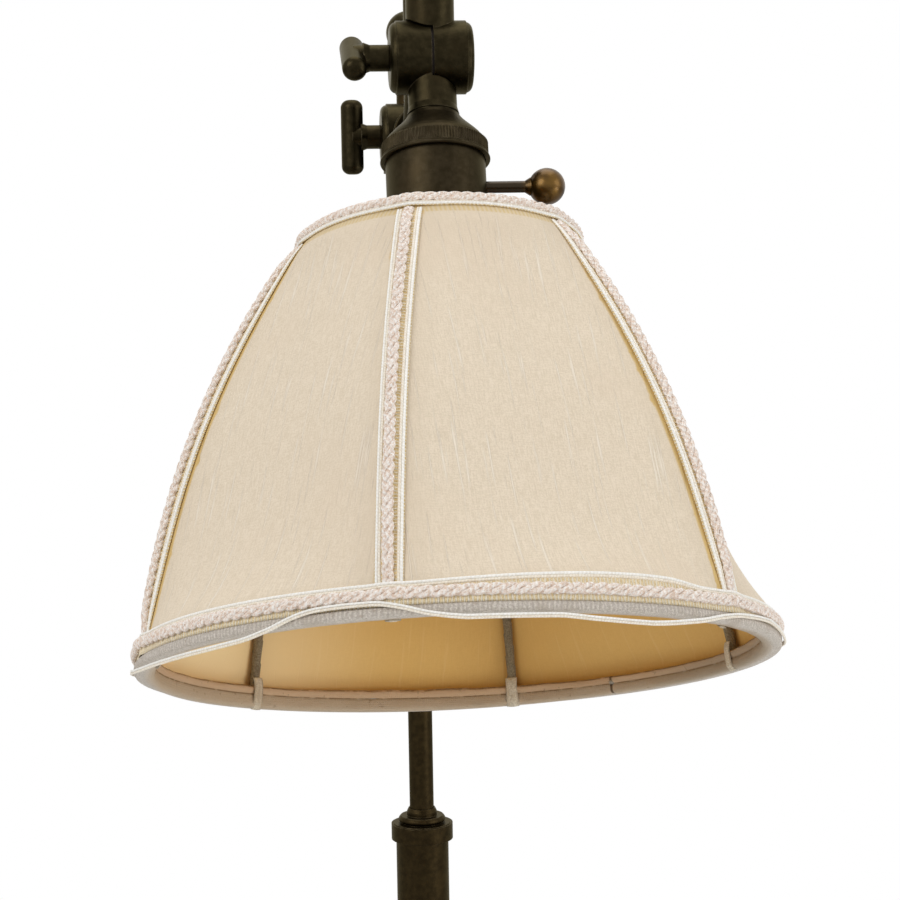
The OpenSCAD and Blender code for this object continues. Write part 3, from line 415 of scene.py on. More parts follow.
chord = Vector((shade_top_r - shade_bottom_r, shade_h))
bow_r = (chord.length_squared / 4 + rib_bow ** 2) / (2 * rib_bow)
bow_normal = Vector((shade_h, -chord.x)) / chord.length
bow_centre = Vector((shade_bottom_r, shade_bottom_z)) + chord / 2 - bow_normal * (bow_r - rib_bow)


def bow_out(z, depth):
    """How far from the shade's axis the bowed skin is at height z, depth millimetres inside its face."""
    return bow_centre.x + math.sqrt((bow_r - depth) ** 2 - (z - bow_centre.y) ** 2)


def bow_slope(z, depth):
    """How far the bowed skin faces upwards at height z, as an angle."""
    return math.asin((z - bow_centre.y) / (bow_r - depth))


def roundness(t):
    """1 at the round rings, and nearly 0 between them, where the panels run flat from rib to rib."""
    ring_zone = 0.066
    panel_roundness = 0.12
    return panel_roundness + (1 - panel_roundness) * min(1, abs(2 * t - 1) / (1 - 2 * ring_zone)) ** 4


def outward(turn):
    return Vector((math.sin(turn), -math.cos(turn), 0))


def skin_spot(t, panel, share, depth):
    """A point of the shade's skin at share t of its height and at a share of the panel's width."""
    z = shade_bottom_z + shade_h * t
    start = rib_turns[panel]
    end = rib_turns[(panel + 1) % rib_count] + (2 * math.pi if panel == rib_count - 1 else 0)
    r = bow_out(z, depth)
    flat = outward(start).lerp(outward(end), share) * r
    full = outward(start + (end - start) * share) * r
    spot = flat.lerp(full, roundness(t))
    spot.z = z
    return spot


def lay_grid(bm, across, along, spot, cloth, slot=0, closed_across=False, closed_along=False,
             seams=None):
    """A grid of faces whose corners are placed by spot(i, j). cloth(i, j, column) gives each corner of a
    face its two flat coordinates in millimetres. It is told the face's column, so that a seam can part
    them. seams gives two more, such as the distances from a sewn edge."""
    made = bmesh.ops.create_grid(bm, x_segments=across, y_segments=along, size=1)
    corner = {}
    for vert in made["verts"]:
        corner[vert] = (round((vert.co.x + 1) / 2 * across), round((vert.co.y + 1) / 2 * along))
    faces = list(dict.fromkeys(face for vert in made["verts"] for face in vert.link_faces))
    flat = bm.loops.layers.uv.get("UVMap") or bm.loops.layers.uv.new("UVMap")
    if seams:
        edges = bm.loops.layers.uv.get("Seams") or bm.loops.layers.uv.new("Seams")
    for face in faces:
        column = min(corner[loop.vert][0] for loop in face.loops)
        for loop in face.loops:
            i, j = corner[loop.vert]
            loop[flat].uv = cloth(i, j, column)
            if seams:
                loop[edges].uv = seams(i, j, column)
        face.material_index = slot
    for vert, (i, j) in corner.items():
        vert.co = spot(i, j)
    if closed_across or closed_along:
        bmesh.ops.remove_doubles(bm, verts=list(corner), dist=0.0005)


def head_piece(name, bm, materials, closed=True):
    """Turn a mesh drawn in the head's frame into a piece that rides on the head."""
    if closed:
        open_edges = [edge for edge in bm.edges if len(edge.link_faces) == 1]
        bmesh.ops.holes_fill(bm, edges=open_edges, sides=0)
        bmesh.ops.recalc_face_normals(bm, faces=bm.faces)
    bmesh.ops.transform(bm, matrix=to_head, verts=bm.verts)
    mesh = bpy.data.meshes.new(name)
    bm.to_mesh(mesh)
    bm.free()
    mesh.shade_smooth()
    for material in materials:
        mesh.materials.append(material)
    piece = bpy.data.objects.new(name, mesh)
    bpy.context.scene.collection.objects.link(piece)
    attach(piece, "head")
    return piece


panel_columns = 20
skin_rows = 64


def panel_of(column):
    return min(column // panel_columns, rib_count - 1)


def lay_skin(bm, depth, slack, slack_seed):
    """The sewn panels of a skin. Small pulls and hollows move the cloth inwards by up to slack."""
    def spot(i, j):
        panel = panel_of(i)
        share = i / panel_columns - panel
        t = j / skin_rows
        point = skin_spot(t, panel, share, depth)
        pull = noise.noise(Vector((point.x / 34, point.y / 34, point.z / 46 + slack_seed)))
        ripple = noise.noise(Vector((point.x / 11, point.y / 11, point.z / 60 + slack_seed + 7)))
        held = min(1, 5 * min(share, 1 - share)) * min(1, 5 * min(t, 1 - t))
        facing = outward(math.atan2(point.x, -point.y))
        return point - facing * slack * held * (0.5 + 0.7 * pull + 0.3 * ripple)

    def width(panel, t):
        return (skin_spot(t, panel, 1, depth) - skin_spot(t, panel, 0, depth)).length

    def cloth(i, j, column):
        panel = panel_of(column)
        t = j / skin_rows
        return (i / panel_columns - panel - 0.5) * width(panel, t), t * chord.length

    def seams(i, j, column):
        panel = panel_of(column)
        share = i / panel_columns - panel
        t = j / skin_rows
        return min(share, 1 - share) * width(panel, t), (1 - t) * chord.length

    lay_grid(bm, rib_count * panel_columns, skin_rows, spot, cloth, closed_across=True, seams=seams)


def silk(name, thread_low, thread_high, slub_tone, aged, depth):
    """Slub silk: fine upright threads with long thick places, crossed by weft threads. The tree and its
    colour are returned, so that stains can be added."""
    tree = start_material(name)
    flat = tree.flat()
    spot = tree.place()

    def threads(across, along, seed):
        stretched = tree.add("ShaderNodeVectorMath", {"operation": "MULTIPLY_ADD"},
                             {0: flat, 1: (across, along, 0), 2: (seed, seed, seed)})
        return tree.grain(stretched, 1.0)

    warp = threads(2.4, 0.22, 3)
    weft = threads(0.34, 2.5, 11)
    slubs = threads(1.0, 0.028, 23).ramp(0.585, 0.69)
    thin_places = threads(1.2, 0.04, 41).ramp(0.62, 0.74)
    flecks = tree.grain(spot, 2.1, 2.0)
    broad = tree.grain(spot, 0.02, 3.0)
    weave = (0.35 * warp + 0.25 * weft + 0.4 * flecks).ramp(0.38, 0.62)
    tone = tree.blend(weave, thread_low, thread_high)
    tone = tree.blend(thin_places * 0.6, tone, thread_low)
    tone = tree.blend(slubs * 0.7, tone, slub_tone)
    tone = tree.blend(broad.ramp(0.45, 0.75) * 0.5, tone, aged)
    tree.surface({
        "Base Color": tone,
        "Roughness": 0.76 - 0.1 * slubs,
        "Normal": tree.relief(0.32 * weave + 1.1 * slubs - 0.25 * thin_places, depth),
    })
    return tree, tone


def thicken(skin, thickness):
    """Give a skin its thickness in metres, on the inner side of its face."""
    solid = skin.modifiers.new("thickness", "SOLIDIFY")
    solid.thickness = thickness
    solid.offset = -1


cover_bm = bmesh.new()
lay_skin(cover_bm, depth=0, slack=0.35, slack_seed=0)
cover_silk, cover_tone = silk("cover_silk", colour(0.69, 0.58, 0.435), colour(0.81, 0.695, 0.545),
                              colour(0.87, 0.78, 0.65), colour(0.73, 0.60, 0.45), depth=0.13)
cover_seams = cover_silk.flat("Seams")
from_seam = cover_silk.axis(cover_seams, "X")
from_top = cover_silk.axis(cover_seams, "Y")

# Old glue shows golden along the rib braids, and painted shade for the gap between braid and silk lies in
# the same line, painted widest and strongest on the seams at the two sides. Below the top braid is a row of
# stitches, and the silk is a little darker near the braids of ribs and top.
glue_and_shade_runs = cover_silk.grain(cover_silk.place(), 0.11, 3.0)
side_seams = cover_silk.axis(cover_silk.place(), "X").size().ramp(30, 52)
glue_and_shade_edge = 4.3 + 1.2 * side_seams + 1.1 * glue_and_shade_runs.ramp(0.55, 0.75)
glue_and_shade_share = side_seams * 0.85 + (1 - side_seams) * glue_and_shade_runs.ramp(0.45, 0.65) * 0.6
# Glue and painted shade: a golden-brown line beside each braid.
glue_and_seam_shade = (1 - from_seam.ramp(glue_and_shade_edge - 0.5, glue_and_shade_edge + 0.5)) * glue_and_shade_share
stitch_row = (cover_silk.axis(cover_silk.flat(), "X") / 1.35 + 0.5 * glue_and_shade_runs).swing()
top_stitches = (1 - from_top.ramp(6.9, 7.7)) * (0.35 + 0.65 * stitch_row)
near_edge = (1 - from_seam.ramp(5.0, 14.0)) * 0.35 + (1 - from_top.ramp(6.0, 26.0)) * 0.3
cover_tone = cover_silk.blend(near_edge, cover_tone, colour(0.66, 0.55, 0.41))
cover_tone = cover_silk.blend(top_stitches * 0.75, cover_tone, colour(0.62, 0.45, 0.17))
cover_tone = cover_silk.blend(glue_and_seam_shade, cover_tone, colour(0.62, 0.41, 0.115))
cover_silk.surface({"Base Color": cover_tone})
cover = head_piece("silk_cover", cover_bm, [cover_silk.owner], closed=False)
thicken(cover, 0.0004)
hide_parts("shade_cover")


# Shade lining: thin amber silk between the cover and the wires, sewn like the cover. Its colours are
# painted warm and bright, painted light for the light that comes through both silks, and its left side is
# painted lighter still, painted light where the lamps reach in.
lining_bm = bmesh.new()
lay_skin(lining_bm, lining_depth, slack=0.12, slack_seed=19)
lining_silk, lining_tone = silk("lining_silk", colour(0.76, 0.465, 0.135), colour(0.79, 0.495, 0.15),
                                colour(0.81, 0.52, 0.175), colour(0.735, 0.435, 0.115), depth=0.03)
lining_x = lining_silk.axis(lining_silk.place(), "X")
# Painted light: the left side of the lining is painted lighter.
painted_left_light = (0 - lining_x).ramp(10, 80) * 0.9
lining_tone = lining_silk.blend(painted_left_light, lining_tone, colour(1.0, 0.77, 0.42))
# Painted shade: a darker orange band is painted along each rib on the lining.
rib_shade = 1 - lining_silk.axis(lining_silk.flat("Seams"), "X").ramp(1.5, 3.6)
lining_tone = lining_silk.blend(rib_shade * 0.6, lining_tone, colour(0.50, 0.22, 0.035))
lining_silk.surface({"Base Color": lining_tone})
lining = head_piece("silk_lining", lining_bm, [lining_silk.owner], closed=False)
thicken(lining, 0.0003)
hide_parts("shade_lining")


# Wrapped wires: cotton tape is wound round each rib and round the top ring in a long overlapping spiral, so
# that the cloth can be sewn to it. It has gone grey-olive.
def lay_cord(bm, steps, sides, centre, out, radius, slot=0, closed=False):
    """A cord along centre(j), where out(j) points away from what the cord lies on. radius(angle, length) is
    its radius, so that it can be flattened or carry the edge of a wrapping."""
    spots = [centre(j) for j in range(steps + 1)]
    lengths = [0.0]
    for j in range(steps):
        lengths.append(lengths[j] + (spots[j + 1] - spots[j]).length)
    frames = []
    for j in range(steps + 1):
        if closed:
            ahead = spots[(j + 1) % steps] - spots[(j - 1) % steps]
        else:
            ahead = spots[min(j + 1, steps)] - spots[max(j - 1, 0)]
        side = ahead.cross(out(j)).normalized()
        frames.append((side, side.cross(ahead.normalized())))

    def spot(i, j):
        angle = -2 * math.pi * i / sides
        side, rise = frames[j]
        return spots[j] + radius(angle, lengths[j]) * (math.cos(angle) * side + math.sin(angle) * rise)

    def cloth(i, j, column):
        return 2 * math.pi * radius(0, 0) * i / sides, lengths[j]

    lay_grid(bm, sides, steps, spot, cloth, slot, closed_across=True, closed_along=closed)


def tape_wrap(wire_r, tape_t, pitch):
    """Radius of a wire under a spiral of tape: it rises to each edge of the tape and then steps down."""
    def radius(angle, length):
        turn = (length / pitch - angle / (2 * math.pi)) % 1
        return wire_r + tape_t * (0.6 + 0.7 * turn)
    return radius


def cotton_tape(name, low, high, stain, pitch):
    """Plain woven cotton tape, with a fine crossed weave and worn, darker places. The tree and its colour
    are returned."""
    tree = start_material(name)
    flat = tree.flat()
    weave = (tree.axis(flat, "X") / pitch).swing() * (tree.axis(flat, "Y") / pitch).swing()
    clouds = tree.grain(tree.place(), 0.09, 4.0)
    fuzz = tree.grain(tree.place(), 2.0, 3.0)
    tone = tree.blend(fuzz.ramp(0.35, 0.65), low, high)
    tone = tree.blend(clouds.ramp(0.5, 0.72) * 0.6, tone, stain)
    tree.surface({
        "Base Color": tone,
        "Roughness": 0.88,
        "Normal": tree.relief(0.4 * weave + 0.9 * fuzz, 0.26),
    })
    return tree, tone


top_ring_z = shade_top_z - ring_inset
top_ring_r = bow_out(top_ring_z, rib_depth)
bottom_ring_z = shade_bottom_z + ring_inset
bottom_ring_r = bow_out(bottom_ring_z, rib_depth)
rib_tape = cotton_tape("rib_tape_cotton", colour(0.19, 0.15, 0.09), colour(0.29, 0.24, 0.155),
                       colour(0.15, 0.09, 0.04), pitch=0.7)[0]
ribs_bm = bmesh.new()
rib_low = bottom_ring_z + 1.5
rib_high = top_ring_z - ring_wire_r - 1.0
rib_steps = 180
rib_wrap_pitch = 7.5
wrap_sides = 14


def rib_height(j):
    return rib_low + (rib_high - rib_low) * j / rib_steps


for turn in rib_turns:
    lay_cord(
        ribs_bm, rib_steps, wrap_sides,
        lambda j: outward(turn) * bow_out(rib_height(j), rib_depth) + up * rib_height(j),
        lambda j: -outward(turn),
        tape_wrap(rib_wire_r, tape_t, rib_wrap_pitch),
    )
wrapped_ribs = head_piece("wrapped_ribs", ribs_bm, [rib_tape.owner])
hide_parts("rib_tape")

top_wrap_bm = bmesh.new()
top_wrap_steps = 300
top_wrap_turns = 36
lay_cord(
    top_wrap_bm, top_wrap_steps, wrap_sides,
    lambda j: outward(2 * math.pi * j / top_wrap_steps) * top_ring_r + up * top_ring_z,
    lambda j: up,
    tape_wrap(ring_wire_r, tape_t * 0.8, 2 * math.pi * top_ring_r / top_wrap_turns),
    closed=True,
)
wrapped_top = head_piece("wrapped_top_ring", top_wrap_bm, [rib_tape.owner])
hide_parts("top_tape")


# Hem binding: a wide cotton tape is folded round the bottom ring and the edges of both silks. Inside it
# shows as two soft rolls, one over the other, with brown stains along their edges, and outside as a narrow
# grey strip with fine gathers, whose folds are painted as darker lines, painted shade. Its ends meet at the
# back right. A short tab laps over each rib's foot.
def between(turn, knots):
    """A smooth closed path through knots, each of which is a turn in degrees and a height."""
    angle = (math.degrees(turn) - knots[0][0]) % 360 + knots[0][0]
    closed = [(knots[-1][0] - 360, knots[-1][1])] + knots
    closed += [(knots[0][0] + 360, knots[0][1]), (knots[1][0] + 360, knots[1][1])]
    for n in range(1, len(closed) - 2):
        start, low = closed[n]
        end, high = closed[n + 1]
        if angle <= end:
            span = end - start
            share = (angle - start) / span
            slope_in = (high - closed[n - 1][1]) / (end - closed[n - 1][0]) * span
            slope_out = (closed[n + 2][1] - low) / (closed[n + 2][0] - start) * span
            if (high - low) * slope_in <= 0:
                slope_in = 0
            if (high - low) * slope_out <= 0:
                slope_out = 0
            rise = 3 * (high - low) - 2 * slope_in - slope_out
            fall = slope_in + slope_out - 2 * (high - low)
            return low + share * (slope_in + share * (rise + share * fall))


hem_slope = bow_slope(bottom_ring_z, rib_depth)
hem_out = bow_out(shade_bottom_z, 0) + 0.1 - bottom_ring_r

# The hem's section: distances outwards and upwards from the middle of the bottom ring, in millimetres. It
# starts at the cloth, goes over the upper roll, down the inner side and under, and up the strip outside.
hem_section = [
    (1.7, -1.8), (1.75, 0.0), (1.65, 1.6), (1.2, 2.6), (0.3, 3.0), (-0.8, 2.9), (-1.55, 2.5), (-1.9, 1.8),
    (-1.95, 1.0), (-1.9, 0.2), (-1.65, -0.45), (-1.35, -0.75), (-1.7, -1.1), (-1.95, -1.7), (-2.05, -2.5),
    (-1.9, -3.3), (-1.4, -3.95), (-0.6, -4.25), (1.0, -4.3), (2.2, -4.3), (hem_out - 0.2, -4.3),
    (hem_out + 0.45, -4.15), (hem_out + 0.8, -3.7), (hem_out + 0.9, -2.9), (hem_out + 0.8, -2.0),
    (hem_out + 0.45, -1.55), (hem_out + 0.1, -1.9), (hem_out + 0.05, -3.45), (2.4, -3.5), (1.8, -3.2),
]
hem_steps = 560
hem_join = math.radians(141)

# How far the top edge of the upper roll has dropped, and how far the lower roll sags, by turn in degrees.
hem_top_drop = [(-140, 1.0), (-100, 0.8), (-60, 0.0), (60, 0.0), (100, 0.9), (134, 1.25), (160, 1.0),
                (180, 0.6)]
hem_sag = [(-160, 1.1), (-122, 1.3), (-84, 0.5), (-55, 0.0), (100, 0.0), (140, 0.1), (180, 0.9)]


def hem_spot(i, j):
    """A corner of the hem: its section with lumps, drop and sag, and a slit and an overlap at its join."""
    x, z = hem_section[i % len(hem_section)]
    turn = 2 * math.pi * j / hem_steps
    around = Vector((math.sin(turn), math.cos(turn), 0))
    past_join = (turn - hem_join) * bottom_ring_r
    join_slit = math.exp(-(past_join / 0.9) ** 2)
    overlap = min(1, max(0, past_join / 0.6)) * min(1, max(0, (26 - past_join) / 16))
    if x < 1.9 and z > 1:
        z += 0.45 * noise.noise(around * 9) + 0.25 * noise.noise(around * 31)
        z -= between(turn, hem_top_drop) * (z - 1) / 2
    if x < 0:
        x -= 0.2 * noise.noise(around * 14 + up * z / 3) + 0.12 * noise.noise(around * 40 + up * z)
        x += 0.7 * join_slit
        x -= 0.35 * overlap * math.exp(-((z + 0.7) / 0.9) ** 2)
    if x < 2 and z < -1.5:
        z -= between(turn, hem_sag) * min(1, (-1.5 - z) / 2) - 0.5 * join_slit
    if x > hem_out:
        x += 0.14 * noise.noise(around * 60) + 0.1 * noise.noise(around * 18)
    lean = hem_slope * min(1, max(0, (z + 4.2) / 2)) if x < hem_out - 0.3 else 0
    x, z = x * math.cos(lean) - z * math.sin(lean), x * math.sin(lean) + z * math.cos(lean)
    return outward(turn) * (bottom_ring_r + x) + up * (bottom_ring_z + z)


corner_width = 1.1


def hem_cloth(i, j, column):
    return i * corner_width, 2 * math.pi * bottom_ring_r * j / hem_steps


hem_bm = bmesh.new()
lay_grid(hem_bm, len(hem_section), hem_steps, hem_spot, hem_cloth, closed_across=True, closed_along=True)
hem_cotton, hem_tone = cotton_tape("hem_cotton", colour(0.52, 0.47, 0.40), colour(0.73, 0.67, 0.60),
                                   colour(0.49, 0.41, 0.32), pitch=0.75)

# Across the section, the flat coordinate runs over the upper roll from 3 to 12, over the lower roll from
# there to 20, and over the strip outside from 23 on.
hem_across = hem_cotton.axis(hem_cotton.flat(), "X")
hem_along = hem_cotton.axis(hem_cotton.flat(), "Y")
hem_x = hem_cotton.axis(hem_cotton.place(), "X")
hem_patches = hem_cotton.grain(hem_cotton.place(), 0.3, 3.0)
upper_roll = hem_across.ramp(2.2, 3.6) * (1 - hem_across.ramp(11.5, 12.6))
inner_side = hem_across.ramp(2.2, 3.6) * (1 - hem_across.ramp(18.0, 21.0))
top_stain = 1 - (hem_across - 6.6).size().ramp(0.2, 1.6)
stained_edges = top_stain.most(1 - (hem_across - 12.1).size().ramp(0.3, 1.2))
# Painted shade: darker lines for the folds of the gathers.
gather_shade = (hem_along / 1.3 + 1.5 * hem_patches).swing() * hem_across.ramp(22.5, 24.5)
spots = hem_cotton.grain(hem_cotton.place(), 0.55, 1.0).ramp(0.70, 0.76)
hem_join_line = 1 - (hem_along - hem_join * bottom_ring_r).size().ramp(0.2, 0.65)
for share, tint in (
    (inner_side * 0.85, colour(0.53, 0.40, 0.26)),
    (upper_roll * 0.65, colour(0.67, 0.43, 0.24)),
    # Painted shade: the inner side is painted darker towards the right end.
    (hem_x.ramp(62, 90) * inner_side * 0.6, colour(0.34, 0.27, 0.19)),
    (stained_edges * hem_patches.ramp(0.3, 0.55) * 0.85, colour(0.29, 0.18, 0.085)),
    (spots * 0.4, colour(0.26, 0.16, 0.09)),
    (gather_shade * 0.5, colour(0.38, 0.32, 0.28)),
    (hem_join_line * inner_side * 0.9, colour(0.10, 0.06, 0.03)),
):
    hem_tone = hem_cotton.blend(share, hem_tone, tint)
hem_cotton.surface({"Base Color": hem_tone})

# The middle line of a tab down the inner side of the hem, in the section's measures.
tab_path = [(-1.35, 4.6), (-1.85, 3.6), (-2.2, 2.2), (-2.35, 0.6), (-2.3, -0.7), (-2.4, -1.8),
            (-2.35, -2.9), (-1.9, -3.9), (-1.2, -4.7)]
tab_steps = 24
tab_sides = 16
for turn in rib_turns:
    def tab_spot(j):
        share = j / tab_steps * (len(tab_path) - 1)
        n = min(int(share), len(tab_path) - 2)
        (x0, z0), (x1, z1) = tab_path[n], tab_path[n + 1]
        x = x0 + (x1 - x0) * (share - n)
        z = z0 + (z1 - z0) * (share - n)
        if z < -1.5:
            z -= between(turn, hem_sag) * min(1, (-1.5 - z) / 2)
        r = bottom_ring_r + x * math.cos(hem_slope) - z * math.sin(hem_slope)
        return outward(turn) * r + up * (bottom_ring_z + z)

    def tab_radius(angle, length):
        wide = 2.1 - 0.15 * math.sin(length / 2)
        thick = 0.34
        return wide * thick / math.hypot(thick * math.cos(angle), wide * math.sin(angle))

    lay_cord(hem_bm, tab_steps, tab_sides, tab_spot, lambda j: -outward(turn), tab_radius, slot=1)
tab_cotton = cotton_tape("tab_cotton", colour(0.62, 0.53, 0.39), colour(0.78, 0.70, 0.55),
                         colour(0.52, 0.40, 0.26), pitch=0.75)[0]
hem = head_piece("hem_binding", hem_bm, [hem_cotton.owner, tab_cotton.owner])
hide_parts("bottom_tape")


# Rib braids: a gimp braid is glued over each seam of the cover. On a strip of gold gauze lie two white edge
# cords, a beige cord inside each, and between them a fuzzy rope of three pink-white strands.
def corded(name, low, high, groove_shade, pitch, depth):
    """Twisted yarn with loose fibres. Its grooves are pitch millimetres apart along the cord, and slant by
    one pitch for each 3.2 mm round it."""
    tree = start_material(name)
    flat = tree.flat()
    fuzz = tree.grain(tree.place(), 3.0, 3.0)
    fibres = tree.grain(tree.scaled(flat, (2.4, 0.8, 0)), 1.0, 3.0)
    tufts = tree.grain(tree.place(), 1.1, 2.0)
    slant = 1 / 3.2
    twist = (tree.axis(flat, "Y") / pitch + tree.axis(flat, "X") * slant + 0.4 * fuzz).swing()
    tone = tree.blend((0.3 * fuzz + 0.3 * fibres + 0.4 * tufts).ramp(0.40, 0.56), low, high)
    # Painted shade: the twist's grooves are painted in the darker groove colour.
    tone = tree.blend((1 - twist) * 0.4, tone, groove_shade)
    tree.surface({
        "Base Color": tone,
        "Roughness": 0.55 + 0.25 * fuzz,
        "Normal": tree.relief(twist * 0.5 + fibres * 0.5 + fuzz * 0.3 + tufts * 0.6, depth),
    })
    return tree.owner


white_cord = corded("white_cord", colour(0.90, 0.88, 0.82), colour(0.98, 0.97, 0.94),
                    colour(0.78, 0.73, 0.64), pitch=1.1, depth=0.08)
beige_cord = corded("beige_cord", colour(0.84, 0.75, 0.61), colour(0.95, 0.90, 0.80),
                    colour(0.72, 0.61, 0.46), pitch=0.9, depth=0.10)
pink_strand = corded("pink_strand", colour(0.72, 0.55, 0.43), colour(1.0, 0.96, 0.91),
                     colour(0.76, 0.55, 0.42), pitch=1.4, depth=0.34)


def ladder_gauze(name, low, high, stitch):
    """Gauze with pale stitches across it, a little over a millimetre apart."""
    tree = start_material(name)
    along = tree.axis(tree.flat(), "Y")
    fuzz = tree.grain(tree.place(), 2.4, 3.0)
    drift = tree.grain(tree.place(), 0.25, 2.0)
    stitches = (along / 1.15 + 1.3 * drift).swing().ramp(0.42, 0.8)
    tone = tree.blend(fuzz.ramp(0.35, 0.65), low, high)
    tone = tree.blend(stitches * (0.25 + 0.8 * drift), tone, stitch)
    tree.surface({
        "Base Color": tone,
        "Roughness": 0.6 + 0.2 * fuzz,
        "Normal": tree.relief(stitches + 0.4 * fuzz, 0.3),
    })
    return tree.owner


gold_gauze = ladder_gauze("gold_gauze", colour(0.64, 0.45, 0.18), colour(0.84, 0.67, 0.38),
                          colour(0.92, 0.85, 0.71))
cream_gauze = ladder_gauze("cream_gauze", colour(0.74, 0.57, 0.30), colour(0.90, 0.77, 0.52),
                           colour(0.95, 0.90, 0.79))
gimp_yarns = [white_cord, beige_cord, pink_strand]
strip_slot, white_slot, beige_slot, strand_slot = range(4)
cord_r = 0.46
cord_sides = 6

# A rope's three strands wind round each other, to the side by rope_reach and up and down by rope_rise,
# about a line that lies rope_height over the cloth.
strand_r = 0.86
strand_sides = 7
rope_pitch = 11
rope_reach = 0.94
rope_rise = 0.48
rope_height = 1.26


def even(radius):
    """The same radius all round and all along a cord."""
    return lambda angle, length: radius


def lay_gimp(bm, steps, spot, out, length, cords, rope, seed, closed=False):
    """The yarns of a gimp braid along spot(share, w, h): w is the distance to the side of its middle line,
    and h the height over the cloth. cords holds each cord's side distance and slot, and rope is the side
    distance of the rope."""
    twists = round(length / rope_pitch)
    for w, slot in cords:
        lay_cord(bm, steps, cord_sides, lambda j: spot(j / steps, w, cord_r + 0.1),
                 lambda j: out(j / steps), even(cord_r), slot, closed)

    def plump(angle, length):
        lump = noise.noise(Vector((length * 0.8, math.cos(angle) + seed, math.sin(angle))))
        return strand_r + 0.12 * lump

    for strand in range(3):
        def centre(j):
            share = j % steps / steps if closed else j / steps
            angle = 2 * math.pi * (twists * share + strand / 3)
            around = Vector((math.cos(2 * math.pi * share), math.sin(2 * math.pi * share), seed))
            wander = 0.28 * noise.noise(around * length / 90)
            aside = rope + wander + rope_reach * math.sin(angle)
            return spot(share, aside, rope_height + rope_rise * math.cos(angle))

        lay_cord(bm, steps, strand_sides, centre, lambda j: out(j / steps),
                 even(strand_r) if closed else plump, strand_slot, closed)


def lay_strip(bm, steps, spot, low, high, length, closed=False):
    """The gauze that the cords are sewn to: a thin band with its long edges closed."""
    profile = [(low, 0.12), (low, 0.4)]
    profile += [(low + (high - low) * n / 5, 0.5) for n in range(1, 5)]
    profile += [(high, 0.4), (high, 0.12)]

    def corner(i, j):
        w, h = profile[i % len(profile)]
        return spot(j / steps, w, h)

    lay_grid(bm, len(profile), steps, corner, lambda i, j, column: (i * 1.2, length * j / steps),
             strip_slot, closed_across=True, closed_along=closed)


# The braids start a little above the bottom edge and end a little below the top one, under the hoops. The
# panels fall away on both sides of a rib, and each braid bends with them.
rib_braid_bm = bmesh.new()
gimp_low = 7.4 / shade_h
gimp_high = 1 - 5.2 / shade_h
gimp_length = (gimp_high - gimp_low) * chord.length
gimp_steps = 240
panel_fall = math.tan(math.radians(30))
fold_r = 0.8
for rib, turn in enumerate(rib_turns):
    def rib_spot(share, w, h):
        t = gimp_low + (gimp_high - gimp_low) * share
        z = shade_bottom_z + shade_h * t
        slope = bow_slope(z, 0)
        ends = min(1, 0.25 + 12 * min(share, 1 - share))
        fall = panel_fall * (1 - roundness(t)) * math.cos(slope) * (math.hypot(w, fold_r) - fold_r)
        out = outward(turn) * math.cos(slope) + up * math.sin(slope)
        side = Vector((math.cos(turn), math.sin(turn), 0))
        return outward(turn) * bow_out(z, 0) + up * z + side * w + out * (h * ends - fall)

    def rib_out(share):
        return outward(turn)

    lay_strip(rib_braid_bm, gimp_steps, rib_spot, -4.1, 4.1, gimp_length)
    lay_gimp(rib_braid_bm, gimp_steps, rib_spot, rib_out, gimp_length,
             [(-3.45, white_slot), (3.45, white_slot), (-2.6, beige_slot), (2.65, beige_slot)],
             rope=-0.2, seed=rib)
rib_braids = head_piece("gimp_on_ribs", rib_braid_bm, [gold_gauze] + gimp_yarns)
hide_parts("rib_braids")


# Top braid: the same gimp goes once round the top, rolled over the edge so that its upper cord lies on the
# rim and its lower cord 5 mm down the cover. It rides up where it crosses the ribs.
rib_reach = 4.5
rim_start = -0.8
rim_r = 1.1


def over_ribs(turn, r, lift):
    """How far a hoop is lifted by the nearest rib braid beneath it."""
    nearest = min(abs((turn - rib + math.pi) % (2 * math.pi) - math.pi) for rib in rib_turns)
    return lift * math.exp(-(nearest * r / rib_reach) ** 2)


def top_spot(share, w, h):
    """w is measured up the cover from the top edge. Past the edge the braid turns inwards over the rim."""
    turn = 2 * math.pi * share
    slope = bow_slope(shade_top_z, 0)
    out = outward(turn) * math.cos(slope) + up * math.sin(slope)
    rise = up * math.cos(slope) - outward(turn) * math.sin(slope)
    edge = outward(turn) * shade_top_r + up * shade_top_z
    h += over_ribs(turn, shade_top_r, lift=0.5)
    if w <= rim_start:
        return edge + rise * w + out * h
    bend = (w - rim_start) / rim_r
    rolled = (out * math.cos(bend) + rise * math.sin(bend)) * (rim_r + h)
    return edge + rise * rim_start - out * rim_r + rolled


def hoop_out(share):
    return outward(2 * math.pi * share)


top_braid_bm = bmesh.new()
top_steps = 480
top_length = 2 * math.pi * shade_top_r
lay_strip(top_braid_bm, top_steps, top_spot, -5.5, 1.2, top_length, closed=True)
lay_gimp(top_braid_bm, top_steps, top_spot, hoop_out, top_length,
         [(-4.95, white_slot), (0.1, white_slot), (-4.1, beige_slot), (-0.7, beige_slot)],
         rope=-2.5, seed=11, closed=True)
top_braid = head_piece("gimp_on_top", top_braid_bm, [gold_gauze] + gimp_yarns)
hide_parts("top_braid")


# Bottom braid: the same gimp goes round just above the hem, on paler gauze. Its upper cords have lifted
# away from the rope for a hand's width at the front, so that more of the gauze shows there.
gimp_rise = 5.0
upper_cords = 1.7


def bottom_spot(share, w, h):
    """w is measured up the cover from the braid's middle line."""
    turn = 2 * math.pi * share
    z = shade_bottom_z + gimp_rise + w
    slope = bow_slope(z, 0)
    out = outward(turn) * math.cos(slope) + up * math.sin(slope)
    h += over_ribs(turn, shade_bottom_r, lift=0.9)
    return outward(turn) * bow_out(z, 0) + up * z + out * h


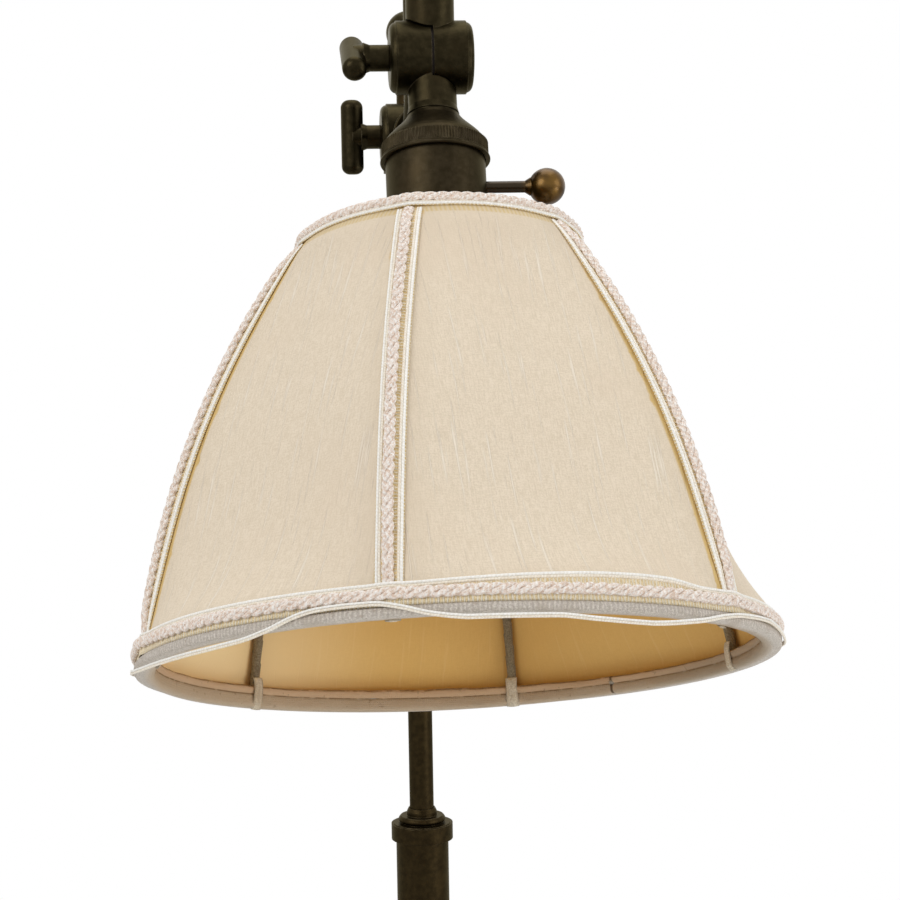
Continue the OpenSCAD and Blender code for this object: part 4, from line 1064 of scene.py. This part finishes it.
upper_lift = [(-14, 0), (-4, 0.5), (8, 1.3), (20, 1.8), (32, 1.5), (40, 0), (180, 0)]


def lifted_spot(share, w, h):
    turn = 2 * math.pi * share
    return bottom_spot(share, w + (between(turn, upper_lift) if w > upper_cords else 0), h)


bottom_braid_bm = bmesh.new()
bottom_steps = 1100
bottom_length = 2 * math.pi * shade_bottom_r
lay_strip(bottom_braid_bm, bottom_steps, lifted_spot, -3.1, 3.1, bottom_length, closed=True)
lay_gimp(bottom_braid_bm, bottom_steps, lifted_spot, hoop_out, bottom_length,
         [(2.95, white_slot), (2.1, beige_slot)], rope=0, seed=23, closed=True)
bottom_braid = head_piece("gimp_on_hem", bottom_braid_bm, [cream_gauze] + gimp_yarns)
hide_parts("bottom_braid")


# Loose edge cord: the two plies of the bottom braid's lower edge. Their stitches have gone in two stretches
# at the front, where they hang below the hem in shallow bights; between them and round the back they hold.
# The knots are turns in degrees and heights over the shade's bottom edge.
cord_hang = [(-100, 2.1), (-88, 0.2), (-75, -2.6), (-57, -3.5), (-42, -2.9), (-36, -1.2), (-31, 1.4),
             (-27, 2.6), (-18, 2.8), (-13.5, 1.4), (-9, -0.8), (-3, -2.3), (4, -2.3), (11, -2.3),
             (17.5, -3.2), (27, -3.8), (37, -2.0), (43.5, 0.2), (49, 1.4), (60, 2.2), (76, 0.6), (90, 2.1),
             (180, 2.1)]
loose_bm = bmesh.new()
loose_steps = 900
ply_r = 0.36
ply_sides = 8
hem_gap = 1.75
for slot, ply in enumerate((0.37, -0.37)):
    def loose_centre(j):
        turn = 2 * math.pi * j / loose_steps
        z = shade_bottom_z + between(turn, cord_hang) + ply
        r = bow_out(shade_bottom_z, 0) + hem_gap + 0.12 * noise.noise(outward(turn) * 12)
        return outward(turn) * (r + over_ribs(turn, shade_bottom_r, lift=0.3)) + up * z

    lay_cord(loose_bm, loose_steps, ply_sides, loose_centre,
             lambda j: outward(2 * math.pi * j / loose_steps), even(ply_r), slot, closed=True)
loose_cord = head_piece("loose_edge_cord", loose_bm, [white_cord, beige_cord])
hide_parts("loose_cord")
